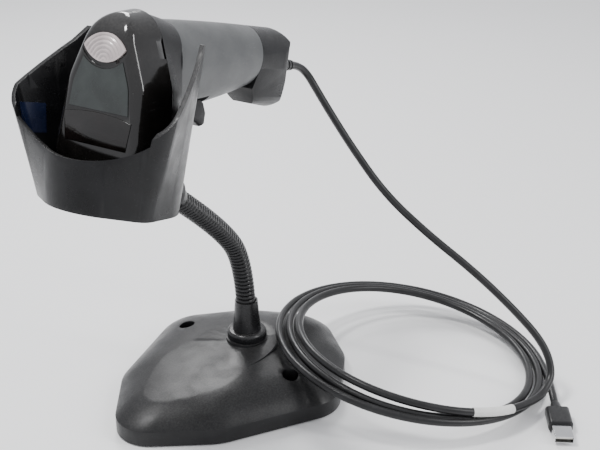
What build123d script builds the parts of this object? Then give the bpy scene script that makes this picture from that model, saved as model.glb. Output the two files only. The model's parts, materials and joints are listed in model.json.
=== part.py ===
"""Corded handheld barcode scanner standing nose down in the cup of its gooseneck desk stand.

The row frame is the stand's: millimetres, +Z up, the table at Z = 0, the stand's front towards -Y,
and the origin on the table straight below the gooseneck's collar. The gooseneck lies in an upright
plane that is turned a little about Z. The scanner and the cup are modelled in the scanner's own
frame, X to the right, nose towards -Y and face towards +Z, and are then put on the stand.
"""

from build123d import *

import os
from math import cos, pi, radians, sin, tan

os.makedirs("parts", exist_ok=True)

# ---------------------------------------------------------------- placing
NECK_YAW = 10.0  # turn of the gooseneck's plane about Z
SCANNER_PITCH = 75.0  # turn of the scanner from level to nose down
SCANNER_BACK, SCANNER_HEIGHT = -95.0, 244.0  # the scanner's own origin in the gooseneck's plane

# ---------------------------------------------------------------- clearances
FIT = 0.15  # gap round a piece that sits in a pocket
RUNNING = 0.05  # radial gap round a pin that turns

# ---------------------------------------------------------------- scanner head
HEAD_HALF = 33.5  # half the width across the nose
HEAD_REAR, HEAD_NOSE = 31.0, -61.0
HEAD_REAR_R, HEAD_MID_R, HEAD_MID_Y, HEAD_CORNER = 20.0, 29.5, -14.0, 15.0
HEAD_WALL = 2.4
FACE_Z = 31.0  # the flat face
FACE_END = 10.0  # where the face starts to round off to the rear
PARTING_Z = 8.0  # lower edge of the top cover
GROOVE = 1.6  # shadow gap between cover and housing
COVER_TAPER = 11.0
COVER_CREASE = 6.0
REAR_DROP_Z = 12.0  # height of the cover's rear end
HOUSING_FLOOR = -13.0
HOUSING_HALF, HOUSING_REAR, HOUSING_NOSE = 21.0, 27.0, -57.0  # the housing's underside
TONGUE_INSET, TONGUE_WALL, TONGUE_RISE = 3.4, 1.4, 2.4

BADGE_WIDTH, BADGE_LOW, BADGE_HIGH, BADGE_ARCH = 46.0, -42.0, -27.0, 2.5
PANEL_INSET, PANEL_GAP = 10.5, 1.2
PLATE_THICK, PLATE_SUNK = 1.2, 0.9  # badge and face panel, and how deep they sit
LENS_TOP_Y, LENS_LOW_Y, LENS_R = 17.5, 2.0, 16.5
LENS_DISH = 2.2  # width of the dished rim round the indicator lens
LENS_PROUD, LENS_DEEP = 0.6, 3.4

NOSE_HALF, NOSE_LOW, NOSE_HIGH, NOSE_CORNER = 25.0, -8.0, 23.0, 5.0
BEZEL_WALL, BEZEL_FLANGE, BEZEL_DEPTH = 2.4, 1.5, 9.0
WINDOW_THICK, WINDOW_BACK = 1.8, 4.5

SIDE_SLOT_Y, SIDE_SLOT_LONG, SIDE_SLOT_HIGH, SIDE_SLOT_DEEP = 14.0, 13.0, 4.5, 1.2

# ---------------------------------------------------------------- scanner handle
# (height, centre, half width, half depth) of the grip's oval sections, from head to end
GRIP_TOP = (HOUSING_FLOOR, 1.5, 18.5, 25.5)
GRIP_MIDDLE = (-57.0, 4.7, 17.5, 23.4)
GRIP_END = (-95.0, 9.4, 17.0, 18.8)
GRIP_WALL = 2.4
CAP_END = -134.0
CAP_HEEL_Y, CAP_HEEL_END = -22.0, -128.0
CAP_REAR_Y = 28.5
CAP_WALL_END = 10.0
CAP_ROOM_HALF, CAP_ROOM_FRONT, CAP_ROOM_REAR = 9.0, -5.2, 17.5

# ---------------------------------------------------------------- trigger
TRIGGER_HALF = 10.8
TRIGGER_SIDE_GAP = 0.8
SLOT_TOP, SLOT_BOTTOM = -16.5, -51.5
PIVOT_Y, PIVOT_Z = -12.5, -21.0
PIN_R, PIN_HALF = 1.5, 13.6
HUB_R = 4.0
TRIGGER_INNER_Y = -16.5
LUG_THICK = 2.0

# ---------------------------------------------------------------- electronics
BOARD_THICK = 1.6
MAIN_BOARD_Z = -7.0  # underside
MAIN_BOARD_HALF, MAIN_BOARD_FRONT, MAIN_BOARD_REAR = 15.5, -44.0, 15.5
POST_R = 2.6
BOARD_POSTS = ((12.5, -26.0), (-12.5, -26.0), (9.5, 12.0), (-9.5, 12.0))
GRIP_POSTS = ((0.0, -58.0), (0.0, -88.0))
COVER_POSTS = ((15.0, -49.0), (-15.0, -49.0), (8.0, 20.0), (-8.0, 20.0))
SCREW_R, SCREW_HEAD_R, SCREW_HEAD = 1.1, 2.1, 1.3
COVER_SCREW_LONG = 12.0
CAP_SCREW_Y, CAP_SCREW_SEAT, CAP_SCREW_TOP = 22.0, -124.0, -87.0
GRIP_BOARD_Y, GRIP_BOARD_HALF = -4.5, 7.0  # front face of the grip board
GRIP_BOARD_TOP, GRIP_BOARD_END = -24.0, -110.0
ENGINE_HALF, ENGINE_FRONT, ENGINE_REAR, ENGINE_HIGH = 12.0, -46.0, -30.0, 12.0
ENGINE_LENS_R, ENGINE_LENS_Z = 5.0, 3.0
SWITCH_Z, SWITCH_BODY, SWITCH_TIP_Y = -42.0, 4.0, -13.8
SPRING_Z, SPRING_R, SPRING_WIRE, SPRING_TURNS = -32.0, 2.3, 0.6, 6

# ---------------------------------------------------------------- cable
CABLE_D = 5.3
CABLE_Y = 5.0  # the cable's axis in the scanner's frame
SOCKET_HALF, SOCKET_DEPTH, SOCKET_TOP, SOCKET_END = 7.5, 15.8, -101.0, -118.0
SOCKET_WALL = 1.6
BOOT_R, BOOT_FLANGE_R, BOOT_FLANGE, BOOT_LENGTH = 4.4, 6.2, 2.6, 22.0
COIL_X, COIL_Y, COIL_Z, COIL_R = 84.0, 77.0, 23.4, 88.0
COIL_TILT_X, COIL_TILT_Y = -0.11, -0.115  # rise of the coil per millimetre along X and Y
COIL_WIDE, COIL_HIGH = 10.5, 7.0  # half sizes of the bundle's section

CORD_TAIL = ((160.5, 132.5, 8.8), (172.0, 117.5, 6.0))  # where the cable leaves the coil for the plug
USB_X, USB_Y = 184.0, 102.5  # where the plug's strain relief starts
USB_HEADING = (0.62, -0.785)
USB_Z, USB_RELIEF, USB_BODY, USB_WIDE, USB_HIGH = 4.5, 8.0, 18.0, 15.5, 8.2
SHELL_WIDE, SHELL_HIGH, SHELL_LONG = 12.0, 4.5, 14.0

# ---------------------------------------------------------------- cup
NECK_D, NECK_BORE = 13.5, 9.0  # the gooseneck's tube, which the cup's boss takes
CUP_LOW, CUP_TOP = -76.0, 20.0
CUP_SIDE_GAP = 5.0  # between the nose and the cup's lower edge
CUP_FLARE = 29.5  # how much wider the cup's front is at the top, on each side
CUP_FRONT_HALF_LOW = HEAD_HALF + CUP_SIDE_GAP
CUP_FRONT_HALF_TOP = CUP_FRONT_HALF_LOW + CUP_FLARE
CUP_FRONT_LOW, CUP_FRONT_TOP = 35.5, 56.5
CUP_REAR_Z, CUP_REAR_R_LOW, CUP_REAR_R_TOP = 12.0, 37.0, 41.0
CUP_CORNER = 10.0
CUP_WALL = 2.6
LEDGE_TOP, LEDGE_THICK = -64.2, 3.0
PAD_THICK, PAD_INSET = 1.5, 4.0
LABEL_Y, LABEL_Z, LABEL_LONG, LABEL_HIGH = -35.0, 29.5, 16.0, 14.0  # plate inside the left wing
LIP_CENTRE, LIP_CORNER, LIP_HALF, LIP_Z = -48.0, -34.0, 46.0, 30.0
LIP_SPREAD = 29.0  # how much wider the front opening is at its upper end, on each side
BOSS_WALL, BOSS_LONG = 4.25, 14.0
BOSS_R = NECK_D / 2 + BOSS_WALL
SET_SCREW_R = 2.0
MAGNET_R, MAGNET_HIGH, MAGNET_Z = 3.0, 1.6, -17.0

# ---------------------------------------------------------------- gooseneck
NECK_LOW, NECK_CORNER_1, NECK_CORNER_2, NECK_END = (0, 38), (0, 81), (-23.3, 121), (-87, 171.5)
NECK_SPLIT = (-9.5, 98)
SEAT_Z = 30.4
COLLAR_R, COLLAR_HIGH = 13.5, 5.6
FERRULE_LOW_WALL, FERRULE_TOP_WALL, FERRULE_TOP = 2.85, 1.05, 58.0
FERRULE_LOW_R, FERRULE_TOP_R = NECK_D / 2 + FERRULE_LOW_WALL, NECK_D / 2 + FERRULE_TOP_WALL
STUD_R, STUD_LOW = 4.0, 11.0
BOSS_LOW = 19.0  # underside of the base's middle boss
TOP_FERRULE_LONG = 8.0
NUT_FLATS, NUT_HIGH = 13.0, 5.0

# ---------------------------------------------------------------- base
BASE_EDGE = 11.0
BASE_LIFT = 0.8  # gap below the base's skirt
BASE_WALL = 2.5
BASE_CENTRE_Y = -12.0
DOME_LEVELS = ((1.0, 11.0), (0.86, 19.0), (0.62, 25.0), (0.30, 28.5))
OVAL_HALF, OVAL_LONG, OVAL_Y, OVAL_REAR_Z, OVAL_SLOPE = 27.0, 36.0, -14.0, 31.5, 5.0
BOLT_X, BOLT_Y, BOLT_R, BOLT_HEAD_R, BOLT_SEAT_Z = 50.0, -10.5, 2.6, 5.5, 12.0
WEIGHT_THICK, WEIGHT_SCALE = 6.0, 0.80
PLATE_LOW, PLATE_HIGH, PLATE_SCALE = 1.6, 3.6, 0.945
PAD_SCALE = 0.93  # rubber sheet under the base
BASE_SCREWS = ((30.0, -62.0), (-30.0, -62.0), (30.0, 34.0), (-30.0, 34.0))


def in_neck_plane(back, height):
    """A direction or a point of the gooseneck's upright plane."""
    return Vector(-back * sin(radians(NECK_YAW)), back * cos(radians(NECK_YAW)), height)


LATERAL = Vector(cos(radians(NECK_YAW)), sin(radians(NECK_YAW)), 0)
SCANNER = Plane(
    origin=in_neck_plane(SCANNER_BACK, SCANNER_HEIGHT),
    x_dir=LATERAL,
    z_dir=in_neck_plane(-sin(radians(SCANNER_PITCH)), cos(radians(SCANNER_PITCH))),
)


def level(y):
    """A plane across the scanner's length, drawn with X to the right and Z up."""
    return Plane(origin=(0, y, 0), x_dir=(1, 0, 0), z_dir=(0, -1, 0))


# ================================================================ outlines
def egg(half, rear, nose, inset=0.0, rear_r=HEAD_REAR_R, mid_r=HEAD_MID_R, corner=HEAD_CORNER):
    """The head's outline from above: round at the rear, wide and nearly straight at the nose."""
    with BuildSketch(mode=Mode.PRIVATE) as outline:
        with Locations((0, rear - rear_r)):
            Circle(rear_r - inset)
        with Locations((0, HEAD_MID_Y)):
            Circle(mid_r - inset)
        with Locations((half - corner, nose + corner), (corner - half, nose + corner)):
            Circle(corner - inset)
        make_hull()
    return outline.sketch


def cover_outline(inset=0.0):
    """The top cover's outline at the parting line."""
    return egg(HEAD_HALF, HEAD_REAR, HEAD_NOSE, inset)


def underside_outline(inset=0.0):
    """The outline of the housing's floor."""
    return egg(HOUSING_HALF, HOUSING_REAR, HOUSING_NOSE, inset, rear_r=17.0, mid_r=20.5, corner=9.0)


def above_cover(drop=0.0):
    """The region above the cover's side view, as a sketch for Plane.YZ."""
    with BuildSketch(mode=Mode.PRIVATE) as region:
        with BuildLine():
            Line((-90, FACE_Z - drop), (FACE_END, FACE_Z - drop))
            TangentArc((FACE_END, FACE_Z - drop), (HEAD_REAR - drop, REAR_DROP_Z), tangent=(1, 0))
            Polyline(
                (HEAD_REAR - drop, REAR_DROP_Z), (60, -20), (60, 70), (-90, 70), (-90, FACE_Z - drop)
            )
        make_face()
    return region.sketch


def cover_form(inset, crease):
    """A closed solid of the cover's outside, or of its inside where inset is its wall."""
    with BuildPart(mode=Mode.PRIVATE) as form:
        for height in (PARTING_Z, FACE_Z + 2):
            with BuildSketch(Plane.XY.offset(height)):
                add(cover_outline(inset + (height - PARTING_Z) * tan(radians(COVER_TAPER))))
        loft(ruled=True)
        with BuildSketch(Plane.YZ):
            add(above_cover(inset))
        extrude(amount=60, both=True, mode=Mode.SUBTRACT)
        upper = [e for e in form.edges() if e.bounding_box().min.Z > PARTING_Z + 0.2]
        fillet(upper, crease)
    return form.part


def lens_outline(grow=0.0):
    """The indicator lens from above: a fan between two arcs."""
    with BuildSketch(mode=Mode.PRIVATE) as outline:
        with Locations((0, LENS_TOP_Y - LENS_R)):
            Circle(LENS_R + grow)
        with Locations((0, LENS_LOW_Y + LENS_R)):
            Circle(LENS_R + grow, mode=Mode.INTERSECT)
    return outline.sketch


def badge_outline(grow=0.0):
    """The badge plate from above: a rectangle with an arched upper edge."""
    half = BADGE_WIDTH / 2 + grow
    with BuildSketch(mode=Mode.PRIVATE) as outline:
        with BuildLine():
            Polyline(
                (-half, BADGE_HIGH + grow),
                (-half + 2, BADGE_LOW - grow),
                (half - 2, BADGE_LOW - grow),
                (half, BADGE_HIGH + grow),
            )
            ThreePointArc(
                (half, BADGE_HIGH + grow),
                (0, BADGE_HIGH + BADGE_ARCH + grow),
                (-half, BADGE_HIGH + grow),
            )
        make_face()
    return outline.sketch


def panel_outline(grow=0.0):
    """The smoked face panel from above: between the badge and the indicator's dished rim."""
    with BuildSketch(mode=Mode.PRIVATE) as outline:
        add(cover_outline(PANEL_INSET - grow))
        with Locations((0, BADGE_HIGH + BADGE_ARCH + PANEL_GAP - grow)):
            Rectangle(90, 60, align=(Align.CENTER, Align.MAX), mode=Mode.SUBTRACT)
        with Locations((0, LENS_LOW_Y + LENS_R)):
            Circle(LENS_R + LENS_DISH + PANEL_GAP - grow, mode=Mode.SUBTRACT)
        with Locations((0, LENS_LOW_Y + 8)):
            Rectangle(90, 60, align=(Align.CENTER, Align.MIN), mode=Mode.SUBTRACT)
    return outline.sketch


def nose_outline(grow=0.0):
    """The opening in the nose, drawn with X to the right and Z up."""
    with BuildSketch(mode=Mode.PRIVATE) as outline:
        with Locations((0, (NOSE_LOW + NOSE_HIGH) / 2)):
            RectangleRounded(
                2 * (NOSE_HALF + grow), NOSE_HIGH - NOSE_LOW + 2 * grow, NOSE_CORNER + grow
            )
    return outline.sketch


def grip_form(inset=0.0, past=0.0):
    """A closed solid of the grip: a loft through its oval sections."""
    with BuildPart(mode=Mode.PRIVATE) as form:
        for (height, centre, half, depth), extra in (
            (GRIP_TOP, past),
            (GRIP_MIDDLE, 0.0),
            (GRIP_END, -past),
        ):
            with BuildSketch(Plane.XY.offset(height + extra)):
                with Locations((0, centre)):
                    Ellipse(half - inset, depth - inset)
        loft()
    return form.part


def cup_outline(y, inset=0.0):
    """The cup's outline across the scanner at a height along the nose direction."""
    share = (y - CUP_LOW) / (CUP_TOP - CUP_LOW)
    half = CUP_FRONT_HALF_LOW + share * (CUP_FRONT_HALF_TOP - CUP_FRONT_HALF_LOW)
    front = CUP_FRONT_LOW + share * (CUP_FRONT_TOP - CUP_FRONT_LOW)
    rear_r = CUP_REAR_R_LOW + share * (CUP_REAR_R_TOP - CUP_REAR_R_LOW)
    with BuildSketch(mode=Mode.PRIVATE) as outline:
        with Locations((half - CUP_CORNER, front - CUP_CORNER), (CUP_CORNER - half, front - CUP_CORNER)):
            Circle(CUP_CORNER - inset)
        with Locations((0, CUP_REAR_Z)):
            Circle(rear_r - inset)
        make_hull()
    return outline.sketch


def cup_form(inset=0.0, low=CUP_LOW, top=CUP_TOP):
    """A closed solid of the cup between two heights, before its rim is cut."""
    with BuildPart(mode=Mode.PRIVATE) as form:
        for y in (low, top):
            with BuildSketch(level(y)):
                add(cup_outline(y, inset))
        loft(ruled=True)
    return form.part


def base_outline(scale_by=1.0):
    """The base's outline from above, shrunk towards its middle."""
    rounds = (
        (0, -75, 24),
        (14, -38, 40),
        (-14, -38, 40),
        (51, 12, 26),
        (-51, 12, 26),
        (24, 36, 34),
        (-24, 36, 34),
        (0, 54, 32),
    )
    with BuildSketch(mode=Mode.PRIVATE) as outline:
        for x, y, radius in rounds:
            with Locations((x * scale_by, BASE_CENTRE_Y + y * scale_by)):
                Circle(radius * scale_by)
        make_hull()
    return outline.sketch


def dome_form(wall=0.0):
    """A closed solid of the base: an upright skirt and a dome, or its inside."""
    inner = 1 - wall / 70
    with BuildPart(mode=Mode.PRIVATE) as form:
        with BuildSketch(Plane.XY.offset(BASE_LIFT - wall)):
            add(base_outline(inner))
        extrude(amount=BASE_EDGE - BASE_LIFT)
        for share, height in DOME_LEVELS:
            with BuildSketch(Plane.XY.offset(height - wall)):
                add(base_outline(share * inner))
        loft()
    return form.part


# ================================================================ scanner: covers
cover_outside = cover_form(0.0, COVER_CREASE)
cover_inside = cover_form(HEAD_WALL, COVER_CREASE - HEAD_WALL)

with BuildPart() as top_cover:
    add(cover_outside)
    add(cover_inside, mode=Mode.SUBTRACT)
    with BuildSketch(Plane.XY.offset(FACE_Z - PLATE_SUNK)):
        add(badge_outline(FIT))
        add(panel_outline(FIT))
    extrude(amount=5, mode=Mode.SUBTRACT)
    with BuildSketch(Plane.XY.offset(FACE_Z - 0.8)):
        add(lens_outline(LENS_DISH))
    extrude(amount=5, mode=Mode.SUBTRACT)
    with BuildSketch(Plane.XY.offset(PARTING_Z)):
        add(lens_outline(FIT))
    extrude(amount=FACE_Z, mode=Mode.SUBTRACT)
    with BuildSketch(level(HEAD_NOSE - 10)):
        add(nose_outline(FIT))
    extrude(amount=-(BEZEL_DEPTH + 14), mode=Mode.SUBTRACT)
    for side in (1, -1):
        with BuildSketch(Plane.XY.offset(PARTING_Z)):
            with Locations((side * 24, SIDE_SLOT_Y)):
                Rectangle(SIDE_SLOT_DEEP * 2 + 9.0, SIDE_SLOT_LONG)
            add(cover_outline(SIDE_SLOT_DEEP), mode=Mode.SUBTRACT)
        extrude(amount=SIDE_SLOT_HIGH, mode=Mode.SUBTRACT)
    # posts that take the cover's screws
    with BuildSketch(Plane.XY.offset(HOUSING_FLOOR + HEAD_WALL)):
        with Locations(*COVER_POSTS):
            Circle(POST_R)
    extrude(until=Until.NEXT)
    with BuildSketch(Plane.XY.offset(HOUSING_FLOOR + HEAD_WALL)):
        with Locations(*COVER_POSTS):
            Circle(SCREW_R)
    extrude(amount=COVER_SCREW_LONG - HEAD_WALL + SCREW_HEAD, mode=Mode.SUBTRACT)
top_cover.part.locate(SCANNER.location)
top_cover.part.label = "top_cover"
export_step(top_cover.part, "parts/top_cover.step")

with BuildPart() as face_panel:
    with BuildSketch(Plane.XY.offset(FACE_Z - PLATE_SUNK)):
        add(panel_outline())
    extrude(amount=PLATE_THICK)
face_panel.part.locate(SCANNER.location)
face_panel.part.label = "face_panel"
export_step(face_panel.part, "parts/face_panel.step")

with BuildPart() as badge_plate:
    with BuildSketch(Plane.XY.offset(FACE_Z - PLATE_SUNK)):
        add(badge_outline())
    extrude(amount=PLATE_THICK)
badge_plate.part.locate(SCANNER.location)
badge_plate.part.label = "badge_plate"
export_step(badge_plate.part, "parts/badge_plate.step")

with BuildPart() as indicator_lens:
    with BuildSketch(Plane.XY.offset(FACE_Z - LENS_DEEP)):
        add(lens_outline())
    extrude(amount=LENS_DEEP + LENS_PROUD)
    with BuildSketch(Plane.YZ):
        add(above_cover(-LENS_PROUD))
    extrude(amount=60, both=True, mode=Mode.SUBTRACT)
indicator_lens.part.locate(SCANNER.location)
indicator_lens.part.label = "indicator_lens"
export_step(indicator_lens.part, "parts/indicator_lens.step")

HOUSING_TOP = PARTING_Z - GROOVE
with BuildPart() as head_housing:
    with BuildSketch(Plane.XY.offset(HOUSING_TOP)):
        add(cover_outline(1.0))
    with BuildSketch(Plane.XY.offset(HOUSING_FLOOR)):
        add(underside_outline())
    loft(ruled=True)
    with BuildSketch(Plane.XY.offset(HOUSING_TOP)):
        add(cover_outline(1.0 + HEAD_WALL))
    with BuildSketch(Plane.XY.offset(HOUSING_FLOOR + HEAD_WALL)):
        add(underside_outline(HEAD_WALL - 1.4))
    loft(ruled=True, mode=Mode.SUBTRACT)
    with BuildSketch(Plane.XY.offset(HOUSING_TOP - 2.0)):
        add(cover_outline(TONGUE_INSET))
        add(cover_outline(TONGUE_INSET + TONGUE_WALL), mode=Mode.SUBTRACT)
    extrude(amount=2.0 + GROOVE + TONGUE_RISE)
    with BuildSketch(level(HEAD_NOSE - 10)):
        add(nose_outline(FIT))
    extrude(amount=-(BEZEL_DEPTH + 14), mode=Mode.SUBTRACT)
    # throat down into the grip
    with BuildSketch(Plane.XY.offset(HOUSING_FLOOR - 1)):
        with Locations((0, -2)):
            Ellipse(9.0, 13.0)
    extrude(amount=HEAD_WALL + 2, mode=Mode.SUBTRACT)
    with BuildSketch(Plane.XY.offset(HOUSING_FLOOR + HEAD_WALL)):
        with Locations(*BOARD_POSTS):
            Circle(POST_R)
    extrude(amount=MAIN_BOARD_Z - HOUSING_FLOOR - HEAD_WALL)
    with BuildSketch(Plane.XY.offset(MAIN_BOARD_Z)):
        with Locations(*BOARD_POSTS):
            Circle(SCREW_R)
    extrude(amount=-4.5, mode=Mode.SUBTRACT)
    with BuildSketch(Plane.XY.offset(HOUSING_FLOOR)):
        with Locations(*COVER_POSTS):
            Circle(SCREW_HEAD_R + FIT)
    extrude(amount=SCREW_HEAD, mode=Mode.SUBTRACT)
    with BuildSketch(Plane.XY.offset(HOUSING_FLOOR)):
        with Locations(*COVER_POSTS):
            Circle(SCREW_R)
    extrude(amount=HEAD_WALL, mode=Mode.SUBTRACT)
head_housing.part.locate(SCANNER.location)
head_housing.part.label = "head_housing"
export_step(head_housing.part, "parts/head_housing.step")

BEZEL_FRONT = HEAD_NOSE - BEZEL_FLANGE
with BuildPart() as nose_bezel:
    with BuildSketch(level(BEZEL_FRONT)):
        add(nose_outline(BEZEL_FLANGE))
    extrude(amount=-BEZEL_FLANGE)
    with BuildSketch(level(HEAD_NOSE)):
        add(nose_outline())
    extrude(amount=-BEZEL_DEPTH)
    with BuildSketch(level(BEZEL_FRONT)):
        add(nose_outline(-BEZEL_WALL))
    extrude(amount=-(BEZEL_DEPTH + BEZEL_FLANGE), mode=Mode.SUBTRACT)
nose_bezel.part.locate(SCANNER.location)
nose_bezel.part.label = "nose_bezel"
export_step(nose_bezel.part, "parts/nose_bezel.step")

with BuildPart() as scan_window:
    with BuildSketch(level(BEZEL_FRONT + WINDOW_BACK)):
        add(nose_outline(-BEZEL_WALL))
    extrude(amount=-WINDOW_THICK)
scan_window.part.locate(SCANNER.location)
scan_window.part.label = "scan_window"
export_step(scan_window.part, "parts/scan_window.step")

# ================================================================ scanner: grip
GRIP_LEAN = Vector(0, GRIP_TOP[0] - GRIP_END[0], GRIP_END[1] - GRIP_TOP[1])
GRIP_SPLIT = Plane(origin=(0, GRIP_TOP[1], GRIP_TOP[0]), x_dir=(1, 0, 0), z_dir=GRIP_LEAN)
grip_outside = grip_form()
grip_inside = grip_form(GRIP_WALL, past=1.0)

with BuildPart() as handle_back_shell:
    add(grip_outside)
    add(grip_inside, mode=Mode.SUBTRACT)
    split(bisect_by=GRIP_SPLIT, keep=Keep.TOP)
    # posts that carry the grip board
    with BuildSketch(level(GRIP_BOARD_Y + BOARD_THICK)):
        with Locations(*GRIP_POSTS):
            Circle(POST_R)
    extrude(amount=-32)
    # boss for the end cap's long screw
    with BuildSketch(Plane.XY.offset(GRIP_END[0])):
        with Locations((0, CAP_SCREW_Y)):
            Circle(POST_R + 1)
    extrude(amount=12)
    add(grip_outside, mode=Mode.INTERSECT)
    with BuildSketch(level(GRIP_BOARD_Y + BOARD_THICK)):
        with Locations(*GRIP_POSTS):
            Circle(SCREW_R)
    extrude(amount=-5, mode=Mode.SUBTRACT)
    with BuildSketch(Plane.XY.offset(GRIP_END[0])):
        with Locations((0, CAP_SCREW_Y)):
            Circle(SCREW_R + 0.4)
    extrude(amount=CAP_SCREW_TOP - GRIP_END[0], mode=Mode.SUBTRACT)
handle_back_shell.part.locate(SCANNER.location)
handle_back_shell.part.label = "handle_back_shell"
export_step(handle_back_shell.part, "parts/handle_back_shell.step")

with BuildPart() as handle_front_shell:
    add(grip_outside)
    add(grip_inside, mode=Mode.SUBTRACT)
    # lugs that hold the trigger's pin
    for side in (1, -1):
        with Locations((side * (TRIGGER_HALF + TRIGGER_SIDE_GAP + LUG_THICK / 2), PIVOT_Y, PIVOT_Z)):
            Box(LUG_THICK, 7.0, 9.0)
    with Locations((0, SLOT_TOP - 8, (SLOT_TOP + SLOT_BOTTOM) / 2)):
        Box(2 * (TRIGGER_HALF + TRIGGER_SIDE_GAP), 30.0, SLOT_TOP - SLOT_BOTTOM, mode=Mode.SUBTRACT)
    add(grip_outside, mode=Mode.INTERSECT)
    split(bisect_by=GRIP_SPLIT, keep=Keep.BOTTOM)
    with BuildSketch(Plane.YZ):
        with Locations((PIVOT_Y, PIVOT_Z)):
            Circle(PIN_R)
    extrude(amount=PIN_HALF, both=True, mode=Mode.SUBTRACT)
handle_front_shell.part.locate(SCANNER.location)
handle_front_shell.part.label = "handle_front_shell"
export_step(handle_front_shell.part, "parts/handle_front_shell.step")

with BuildPart() as handle_end_cap:
    grip_end, centre, half, depth = GRIP_END
    with BuildSketch(Plane.YZ):
        with BuildLine():
            Polyline(
                (CAP_REAR_Y, grip_end - 12),
                (centre + depth, grip_end),
                (centre - depth, grip_end),
                (CAP_HEEL_Y + 2.5, grip_end - 9),
                (CAP_HEEL_Y, CAP_HEEL_END),
                (CAP_HEEL_Y + 5, CAP_END),
                (9, CAP_END),
            )
            TangentArc((9, CAP_END), (CAP_REAR_Y, grip_end - 12), tangent=(1, 0))
        make_face()
    extrude(amount=40, both=True)
    with BuildSketch(Plane.XZ):
        with BuildLine():
            Polyline((-half, grip_end), (half, grip_end), (half - 0.6, CAP_END + 14))
            ThreePointArc((half - 0.6, CAP_END + 14), (half - 3.6, CAP_END + 4), (half - 9, CAP_END))
            Line((half - 9, CAP_END), (9 - half, CAP_END))
            ThreePointArc((9 - half, CAP_END), (3.6 - half, CAP_END + 4), (0.6 - half, CAP_END + 14))
            Line((0.6 - half, CAP_END + 14), (-half, grip_end))
        make_face()
    extrude(amount=60, both=True, mode=Mode.INTERSECT)
    with BuildSketch(Plane.XY.offset(CAP_END - 1)):
        with Locations((0, centre)):
            Ellipse(half, depth)
        with Locations((0, CAP_HEEL_Y + 11)):
            Circle(11)
        make_hull()
    extrude(amount=grip_end - CAP_END + 2, mode=Mode.INTERSECT)
    with Locations((0, CAP_ROOM_FRONT, CAP_END + CAP_WALL_END)):
        Box(
            2 * CAP_ROOM_HALF,
            CAP_ROOM_REAR - CAP_ROOM_FRONT,
            60,
            align=(Align.CENTER, Align.MIN, Align.MIN),
            mode=Mode.SUBTRACT,
        )
    with BuildSketch(Plane.XY.offset(CAP_END - 1)):
        with Locations((0, CABLE_Y)):
            Circle(BOOT_R + FIT)
    extrude(amount=CAP_WALL_END + 2, mode=Mode.SUBTRACT)
    with BuildSketch(Plane.XY.offset(CAP_END - 1)):
        with Locations((0, CAP_SCREW_Y)):
            Circle(SCREW_HEAD_R + 0.9)
    extrude(amount=CAP_SCREW_SEAT - CAP_END + 1, mode=Mode.SUBTRACT)
    with BuildSketch(Plane.XY.offset(CAP_SCREW_SEAT)):
        with Locations((0, CAP_SCREW_Y)):
            Circle(SCREW_R + 0.4)
    extrude(amount=GRIP_END[0] - CAP_SCREW_SEAT, mode=Mode.SUBTRACT)
handle_end_cap.part.locate(SCANNER.location)
handle_end_cap.part.label = "handle_end_cap"
export_step(handle_end_cap.part, "parts/handle_end_cap.step")

# ================================================================ scanner: trigger
with BuildPart() as trigger:
    with BuildSketch(Plane.YZ):
        with BuildLine():
            Polyline(
                (TRIGGER_INNER_Y, -25),
                (PIVOT_Y, PIVOT_Z + HUB_R - 0.5),
                (-24.6, -18.4),
                (-28.5, -24),
            )
            ThreePointArc((-28.5, -24), (-27.4, -35), (-32, -47.5))
            Polyline(
                (-32, -47.5),
                (-30, -50.2),
                (-24, -50.4),
                (-18, -47),
                (TRIGGER_INNER_Y, -44),
                (TRIGGER_INNER_Y, -25),
            )
        make_face()
        with Locations((PIVOT_Y, PIVOT_Z)):
            Circle(HUB_R)
            Circle(PIN_R + RUNNING, mode=Mode.SUBTRACT)
    extrude(amount=TRIGGER_HALF, both=True)
    outer = [e for e in trigger.edges().filter_by(Plane.YZ) if e.center().Y < -26.5 and e.length > 8]
    fillet(outer, 2.5)
trigger.part.locate(SCANNER.location)
trigger.part.label = "trigger"
export_step(trigger.part, "parts/trigger.step")

with BuildPart() as trigger_pin:
    with BuildSketch(Plane.YZ):
        with Locations((PIVOT_Y, PIVOT_Z)):
            Circle(PIN_R)
    extrude(amount=PIN_HALF, both=True)
trigger_pin.part.locate(SCANNER.location)
trigger_pin.part.label = "trigger_pin"
export_step(trigger_pin.part, "parts/trigger_pin.step")

SPRING_LONG = GRIP_BOARD_Y - TRIGGER_INNER_Y - SPRING_WIRE
with BuildPart() as trigger_spring:
    with BuildLine():
        wire_line = Helix(
            pitch=SPRING_LONG / SPRING_TURNS,
            height=SPRING_LONG,
            radius=SPRING_R,
            center=(0, TRIGGER_INNER_Y + SPRING_WIRE / 2, SPRING_Z),
            direction=(0, 1, 0),
        )
    with BuildSketch(Plane(origin=wire_line @ 0, z_dir=wire_line % 0)):
        Circle(SPRING_WIRE / 2)
    sweep(is_frenet=True)
trigger_spring.part.locate(SCANNER.location)
trigger_spring.part.label = "trigger_spring"
export_step(trigger_spring.part, "parts/trigger_spring.step")

with BuildPart() as trigger_switch:
    with BuildSketch(level(GRIP_BOARD_Y)):
        with Locations((0, SWITCH_Z)):
            Rectangle(6.2, 6.2)
    extrude(amount=SWITCH_BODY)
    with BuildSketch(level(GRIP_BOARD_Y - SWITCH_BODY)):
        with Locations((0, SWITCH_Z)):
            Circle(1.7)
    extrude(amount=GRIP_BOARD_Y - SWITCH_BODY - SWITCH_TIP_Y)
trigger_switch.part.locate(SCANNER.location)
trigger_switch.part.label = "trigger_switch"
export_step(trigger_switch.part, "parts/trigger_switch.step")

# ================================================================ scanner: electronics
BOARD_TOP = MAIN_BOARD_Z + BOARD_THICK

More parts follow.
